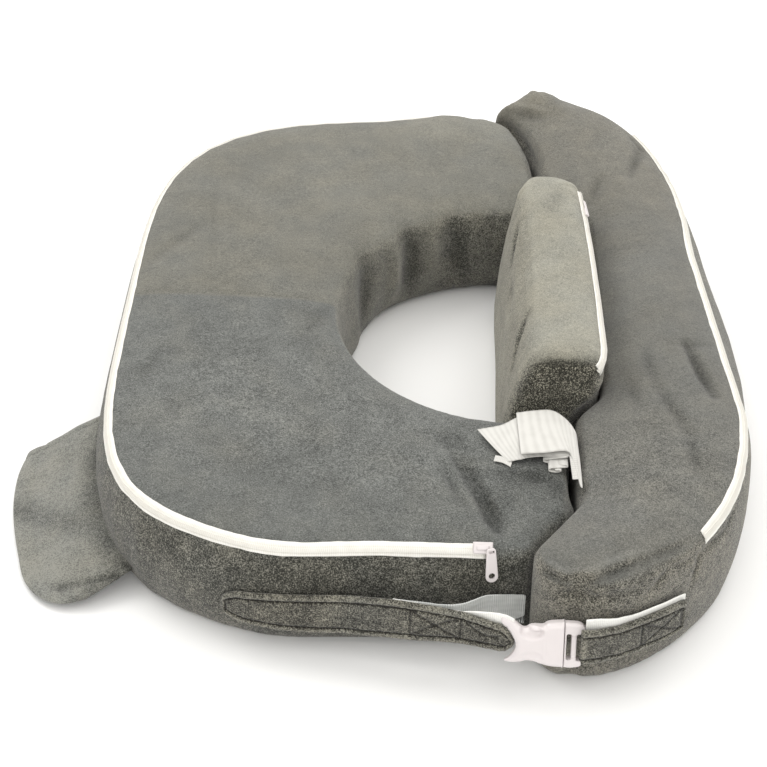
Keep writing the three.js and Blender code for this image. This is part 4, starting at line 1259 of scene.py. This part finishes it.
# Side-release buckle, moulded from its outlines and leant back
buckle = {
    "y": -402.4, "z": 58, "lean": 18, "voxel": 0.62, "plate": 12, "smoothing": 4, "fade": 2.2,
    # how far the outline is drawn in, and how wide its rounded rim is
    "socketInset": 1.1, "socketSoft": 4.6, "plugInset": 0.66, "plugSoft": 2.6,
    "socketTop": [
        (120.2, 21.3), (109.1, 20.6), (104.4, 19.1), (102, 17.4), (94.8, 17.4), (90.9, 16.4), (88.6, 14.6),
        (86.4, 15.0), (83.6, 17.1), (80.3, 20.1), (77, 22.6), (72.9, 23.9), (69.7, 24.0), (67.4, 22.4),
    ],
    "socketArc": [
        (67.4, 22.4), (67.6, 17.5), (71.7, 13.6), (75.1, 9.8), (77.7, 5.4), (79.5, 1), (80, -2.5),
        (78.9, -6.1),
        (76.7, -9.8), (74.4, -12.6), (71.2, -14), (70.4, -15.6),
    ],
    "socketLow": [
        (70.4, -15.6), (72, -17.0), (74.5, -17.6), (78.6, -18.2), (85, -17.1), (90.6, -16.1), (95.5, -16.4),
        (101.2, -18.4), (109.3, -20.3), (120.2, -20.8),
    ],
    "plug": [
        (119.0, 20.5), (125.9, 20.3), (130.7, 19.9), (134.8, 17.8), (137.3, 13), (137.8, 0), (137.3, -12),
        (135, -16.9), (132.7, -19.4), (125.5, -20.8), (119.0, -20.3),
    ],
    # half thickness at the claw, what the body and the collar add from x over a length, then how much
    # it falls towards the edges, at what height
    "socketThick": (3.4, (3.0, 72, 16), (0.6, 103, 2.0), 0.8, 20), "plugThick": 4.6,
    # the plug's slots by place and size
    "slots": [((123.3, -1.2), (4.0, 22.6, 30)), ((131.8, -1.6), (4.6, 23.4, 30))],
    # the bar between them: place, half size and how much lower it lies
    "bar": ((127.4, -1.6), (3.2, 9.4), 1.5),
    # x, height, half sizes and depth of the hollow and of the tab that stands in it
    # the lower pair has a share of their depth
    "hollow": (93.4, 11.6, 10.6, 6.6, 3.8), "tab": (97.0, 14.8, 7.0, 3.8, 3.3), "lowShare": 0.3,
}


def curve(rows, count):
    return [tuple(smoothRow([(x, y, 0) for x, y in rows], i / count))[:2] for i in range(count)]


def oval(co, x, y, alongX, alongY):
    # 1 inside an oval, 0 outside it, in millimetres
    away = np.hypot((co[:, 0] - x) / alongX, (co[:, 1] - y) / alongY)
    return smoothStep((1 - away) * alongY / buckle["fade"])


def rimAway(co, rim):
    # how far each point is from the open line through the rim's places
    away = np.full(len(co), np.inf)
    for start, run in zip(rim[:-1], rim[1:] - rim[:-1]):
        t = np.clip((co[:, :2] - start) @ run / (run @ run), 0, 1)
        away = np.minimum(away, np.linalg.norm(co[:, :2] - start - t[:, None] * run, axis=1))
    return away


def mould(name, outline, soft, halfThick, hollows, cuts):
    body = meshObject(name, plate(outline, buckle["plate"], 0))
    for at, size in cuts:
        carveBox(body, at, size)
    remesh(body, buckle["voxel"] * mm)
    co = points(body) / mm
    rise = np.clip((rimAway(co, np.array(outline)) + 0.5) / soft, 0, 1)
    half = halfThick(co) * np.sqrt(rise * (2 - rise))
    half -= hollows(co) * (co[:, 2] > 0)
    co[:, 2] *= half / (buckle["plate"] / 2)
    setPoints(body, co * mm)
    bm = bmesh.new()
    bm.from_mesh(body.data)
    every = {"use_axis_x": True, "use_axis_y": True, "use_axis_z": True}
    for _ in range(buckle["smoothing"]):
        bmesh.ops.smooth_vert(bm, verts=bm.verts, factor=0.5, **every)
    bm.to_mesh(body.data)
    bm.free()
    # drawn with x along, y up and z towards the front, then stood up
    upright = Matrix.Rotation(math.radians(90 - buckle["lean"]), 4, "X")
    putAt(body, Matrix.Translation(place(0, buckle["y"], buckle["z"])) @ upright)
    finish(body, "buckle_plastic", moulded["white_plastic"], name.removesuffix("_body"))


def drawnIn(outline, by):
    # a closed outline moved inwards
    made = []
    turning = sum(a[0] * b[1] - b[0] * a[1] for a, b in zip(outline, outline[1:] + outline[:1]))
    for i, (x, y) in enumerate(outline):
        a, b = Vector(outline[i - 1]), Vector(outline[(i + 1) % len(outline)])
        run = (b - a).normalized()
        side = Vector((-run.y, run.x)) * (1 if turning > 0 else -1)
        made.append((x + side.x * by, y + side.y * by))
    return made


def makeSocket():
    sides = (("socketTop", 60), ("socketArc", 40), ("socketLow", 40))
    outline = [spot for side, count in sides for spot in curve(buckle[side], count)]
    outline = drawnIn([*outline, buckle["socketLow"][-1]], buckle["socketInset"])
    claw, (body, bodyAt, bodyOver), (collar, collarAt, collarOver), fall, reach = buckle["socketThick"]

    def halfThick(co):
        x, y = co[:, 0], co[:, 1]
        thick = claw + body * smoothStep((x - bodyAt) / bodyOver)
        return thick + collar * smoothStep((x - collarAt) / collarOver) - fall * (y / reach) ** 2

    def hollows(co):
        deep = np.zeros(len(co))
        for side, share in ((1, 1), (-1, buckle["lowShare"])):
            for key, sign in (("hollow", share), ("tab", -share)):
                x, y, alongX, alongY, depth = buckle[key]
                deep += sign * depth * oval(co, x, side * y, alongX, alongY)
        return deep

    mould("buckle_socket_body", outline, buckle["socketSoft"], halfThick, hollows, [])


def makePlug():
    outline = drawnIn(curve(buckle["plug"], 70) + [buckle["plug"][-1]], buckle["plugInset"])
    (x, y), (halfX, halfY), lower = buckle["bar"]

    def halfThick(co):
        return np.full(len(co), buckle["plugThick"])

    def hollows(co):
        return lower * (np.abs(co[:, 1] - y) < halfY) * (np.abs(co[:, 0] - x) < halfX)

    mould("buckle_plug_body", outline, buckle["plugSoft"], halfThick, hollows, buckle["slots"])


makeSocket()
makePlug()
print("buckle made")


# Side pocket: a doubled flap, from the wall to its folded edge
pocket = {
    "thick": 2.2, "long": 240, "wide": 75, "flat": (0.24, 0.08), "steps": 150, "around": 96, "rim": 3,
    # each hem as lines by place, width and height: along the folded edge, then along the far end
    "edgeHem": [(8, 5, 0.9), (16, 1.3, -0.9)], "endHem": [(7, 3.5, 0.8), (12.5, 1.2, -0.8)],
    "rows": [
        # root x, y, z, then edge x, y, z
        (-291.3, -100.3, 44, -366, -118, 9), (-290.6, -126.7, 43, -371, -150, 6),
        (-289.0, -156.3, 41, -369, -186, 5),
        (-285.6, -187.5, 38, -362, -222, 5), (-280.4, -216.0, 35, -352, -258, 5),
        (-273.4, -241.7, 32, -342, -288, 5),
        (-262.8, -263.6, 29, -326, -310, 6), (-254.0, -278.8, 26, -305, -320, 8),
        (-245.5, -290.7, 23, -283, -316, 11),
    ],
    "creases": [
        # from along, out, to along, out, width and depth, where along and out go from 0 to 1
        (0.25, 0.12, 0.85, 0.16, 0.1, 0.8), (0.3, 0.95, 0.55, 0.3, 0.06, 0.9),
        (0.78, 0.8, 0.97, 0.3, 0.04, 1.3),
    ],
}


offFloor = 0.7  # the lowest that a sheet lies, in millimetres


def foldedSheet(name, steps, around, at, offset, values, sign=1):
    # a thin closed wall about the sheet that the places at(s, t) make
    def section(s, turn):
        t = 0.5 - 0.5 * math.cos(2 * math.pi * turn)
        face = 1 if turn <= 0.5 else -1
        wide = at(min(s + 0.01, 1), t) - at(max(s - 0.01, 0), t)
        deep = at(s, min(t + 0.02, 1)) - at(s, max(t - 0.02, 0))
        up = wide.cross(deep).normalized() * sign
        spot = at(s, t) + up * offset(s, t, face)
        spot.z = max(spot.z, offFloor)
        return place(*spot), values(s, t)

    return bandAround(name, steps, around, section)


def pocketPlace(s, t):
    root, edge = (smoothRow([row[part] for row in pocket["rows"]], s) for part in (slice(3), slice(3, 6)))
    flat = root.lerp(edge, t)
    return Vector((flat.x, flat.y, lerp(root.z, edge.z, 0.65 * t + 0.35 * ease(t))))


def pocketDip(s, t):
    dip = 0
    for fromS, fromT, toS, toT, width, deep in pocket["creases"]:
        run, at = Vector((toS - fromS, toT - fromT)), Vector((s - fromS, t - fromT))
        share = clamp(at.dot(run) / run.length_squared)
        dip += deep * bump((at - run * share).length, width)
    return dip


def makePocket():
    long, wide = pocket["long"], pocket["wide"]

    def offset(s, t, face):
        rim = rounded(min(s, 1 - s) * long / pocket["rim"]) * rounded((1 - t) * 30)
        thick = pocket["thick"] * (0.75 + 0.25 * math.sin(math.pi * t))
        if face > 0:
            thick += sum(high * bump((1 - t) * wide - at, width) for at, width, high in pocket["edgeHem"])
            thick += sum(high * bump(s * long - at, width) for at, width, high in pocket["endHem"])
        off = face * thick * rim - pocketDip(s, t) * (1 if face > 0 else 0.6) * rim
        return off + 0.9 * wobble(s * 7, t * 4) * rim + 0.2 * wobble(s * 130, t * 40, face)

    def values(s, t):
        # painted shade in the creases, along the root at the wall and at the turned-down near end
        nap = 0.32 - 0.3 * (clamp(pocketDip(s, t)) + bump(t - 0.05, 0.06) + ease((s - 0.86) * 12))
        return {"coarse": 0.45, "nap": nap}

    flap = foldedSheet("pocket_flap", pocket["steps"], pocket["around"], pocketPlace, offset, values, -1)
    finish(flap, "front_plush", plush["front"], "side_pocket")


makePocket()
print("pocket made")


# Care label, blank: two satin leaves over rolled layers
label = {
    "leaves": {
        # columns of places from the far edge to the near one
        "label_under_leaf": [
            [(48.9, -199.5, 114.8), (61.5, -223.2, 116), (75, -242.5, 114.2)],
            [(68.7, -197.5, 118.5), (76, -223, 119.6), (85.2, -241.8, 116.8)],
            [(86, -188.5, 121.6), (92.2, -219, 122.4), (98, -239.6, 118.3)],
            [(110, -186, 121.6), (119, -213, 122.4), (131, -238.4, 119)],
        ],
        "label_top_leaf": [
            [(82.7, -184.7, 122.8), (83.8, -212.6, 123.6), (85.3, -240, 121.4)],
            [(98.2, -184.2, 125.2), (100.8, -214.1, 126), (105.9, -240.6, 124)],
            [(114, -182.5, 125), (117.2, -211.1, 125.7), (124.1, -236, 122.8)],
            [(125.3, -192, 123.8), (127.2, -221.2, 123.8), (129.8, -244, 119.8)],
            [(133, -206.6, 121.8), (134.4, -238, 119.8), (135.2, -266, 110.8)],
            [(134.8, -215, 118.2), (136.6, -250, 114.5), (137.6, -269, 109.8)],
        ],
    },
    # a ribbon's run, then how far it reaches across
    "rolled": {
        "label_layers": ([
            (126, -240, 119), (116, -240.5, 117.8), (107, -241, 116.4), (105.4, -241.7, 115),
            (110, -243, 114.6),
            (119, -246, 115.6), (124.6, -247.6, 115.9), (125, -248.6, 115), (117, -250, 115.2),
            (111, -251, 115.2),
            (109.4, -252, 113.8), (112, -252.6, 112.7), (117.6, -252.6, 112.7), (119.8, -252.5, 113.8),
            (117.4, -252.2, 114.3), (114.4, -252, 114.2),
        ], (0, 16, 1)),
        "label_white_fold": ([
            (127, -239.8, 120.2), (127.6, -247, 118.2), (128.4, -254, 115.4), (129.2, -261.5, 112.6),
        ], (6.2, 0.4, 0.3)),
        "label_small_tip": ([(62.8, -240.2, 112.9), (70, -243, 113.7), (77.2, -247.6, 113.0)], (1.5, 6.5, 1.2)),
    },
    "flats": {
        "label_under_leaf": (0.066, 0.05), "label_top_leaf": (0.062, 0.062), "label_layers": (0.1, 0.017),
        "label_white_fold": (0.026, 0.0105), "label_small_tip": (0.017, 0.01),
    },
}
labelLook = {
    "size": 60, "half": 0.32, "rim": 0.6, "hem": 0.02, "light": 0.35, "dark": 0.5, "ribs": 62, "threads": 55,
    # steps along and around, how loosely it waves, and how much of its flat rectangle it takes up
    "leaf": (72, 60, 1, 0.92), "ribbon": (140, 24, 0, 0.64),
}


def makeLeaf(name, at, steps, around, loose, share):
    def offset(s, t, face):
        rim = rounded(min(s, 1 - s, t, 1 - t) * labelLook["size"] / labelLook["rim"])
        wave = 0.5 * wobble(s * 3.1, t * 2.3, 4) + 0.25 * wobble(s * 9, t * 3, 8)
        return face * labelLook["half"] * rim + loose * wave

    def values(s, t):
        hem = bump(t - labelLook["hem"], labelLook["hem"]) + bump(1 - labelLook["hem"] - t, labelLook["hem"])
        nap = labelLook["light"] - labelLook["dark"] * hem
        return {"run": s * labelLook["ribs"], "over": t * labelLook["threads"], "nap": nap}

    leaf = foldedSheet(name, steps, around, at, offset, values)
    finish(leaf, "label_satin", woven["satin"], "care_label")


def makeLabel():
    for name, columns in label["leaves"].items():
        def leafPlace(s, t):
            return smoothRow([smoothRow(column, t) for column in columns], s)

        makeLeaf(name, leafPlace, *labelLook["leaf"])
    for name, (run, across) in label["rolled"].items():
        makeLeaf(name, lambda s, t: smoothRow(run, s) + Vector(across) * t, *labelLook["ribbon"])


makeLabel()
print("label made")
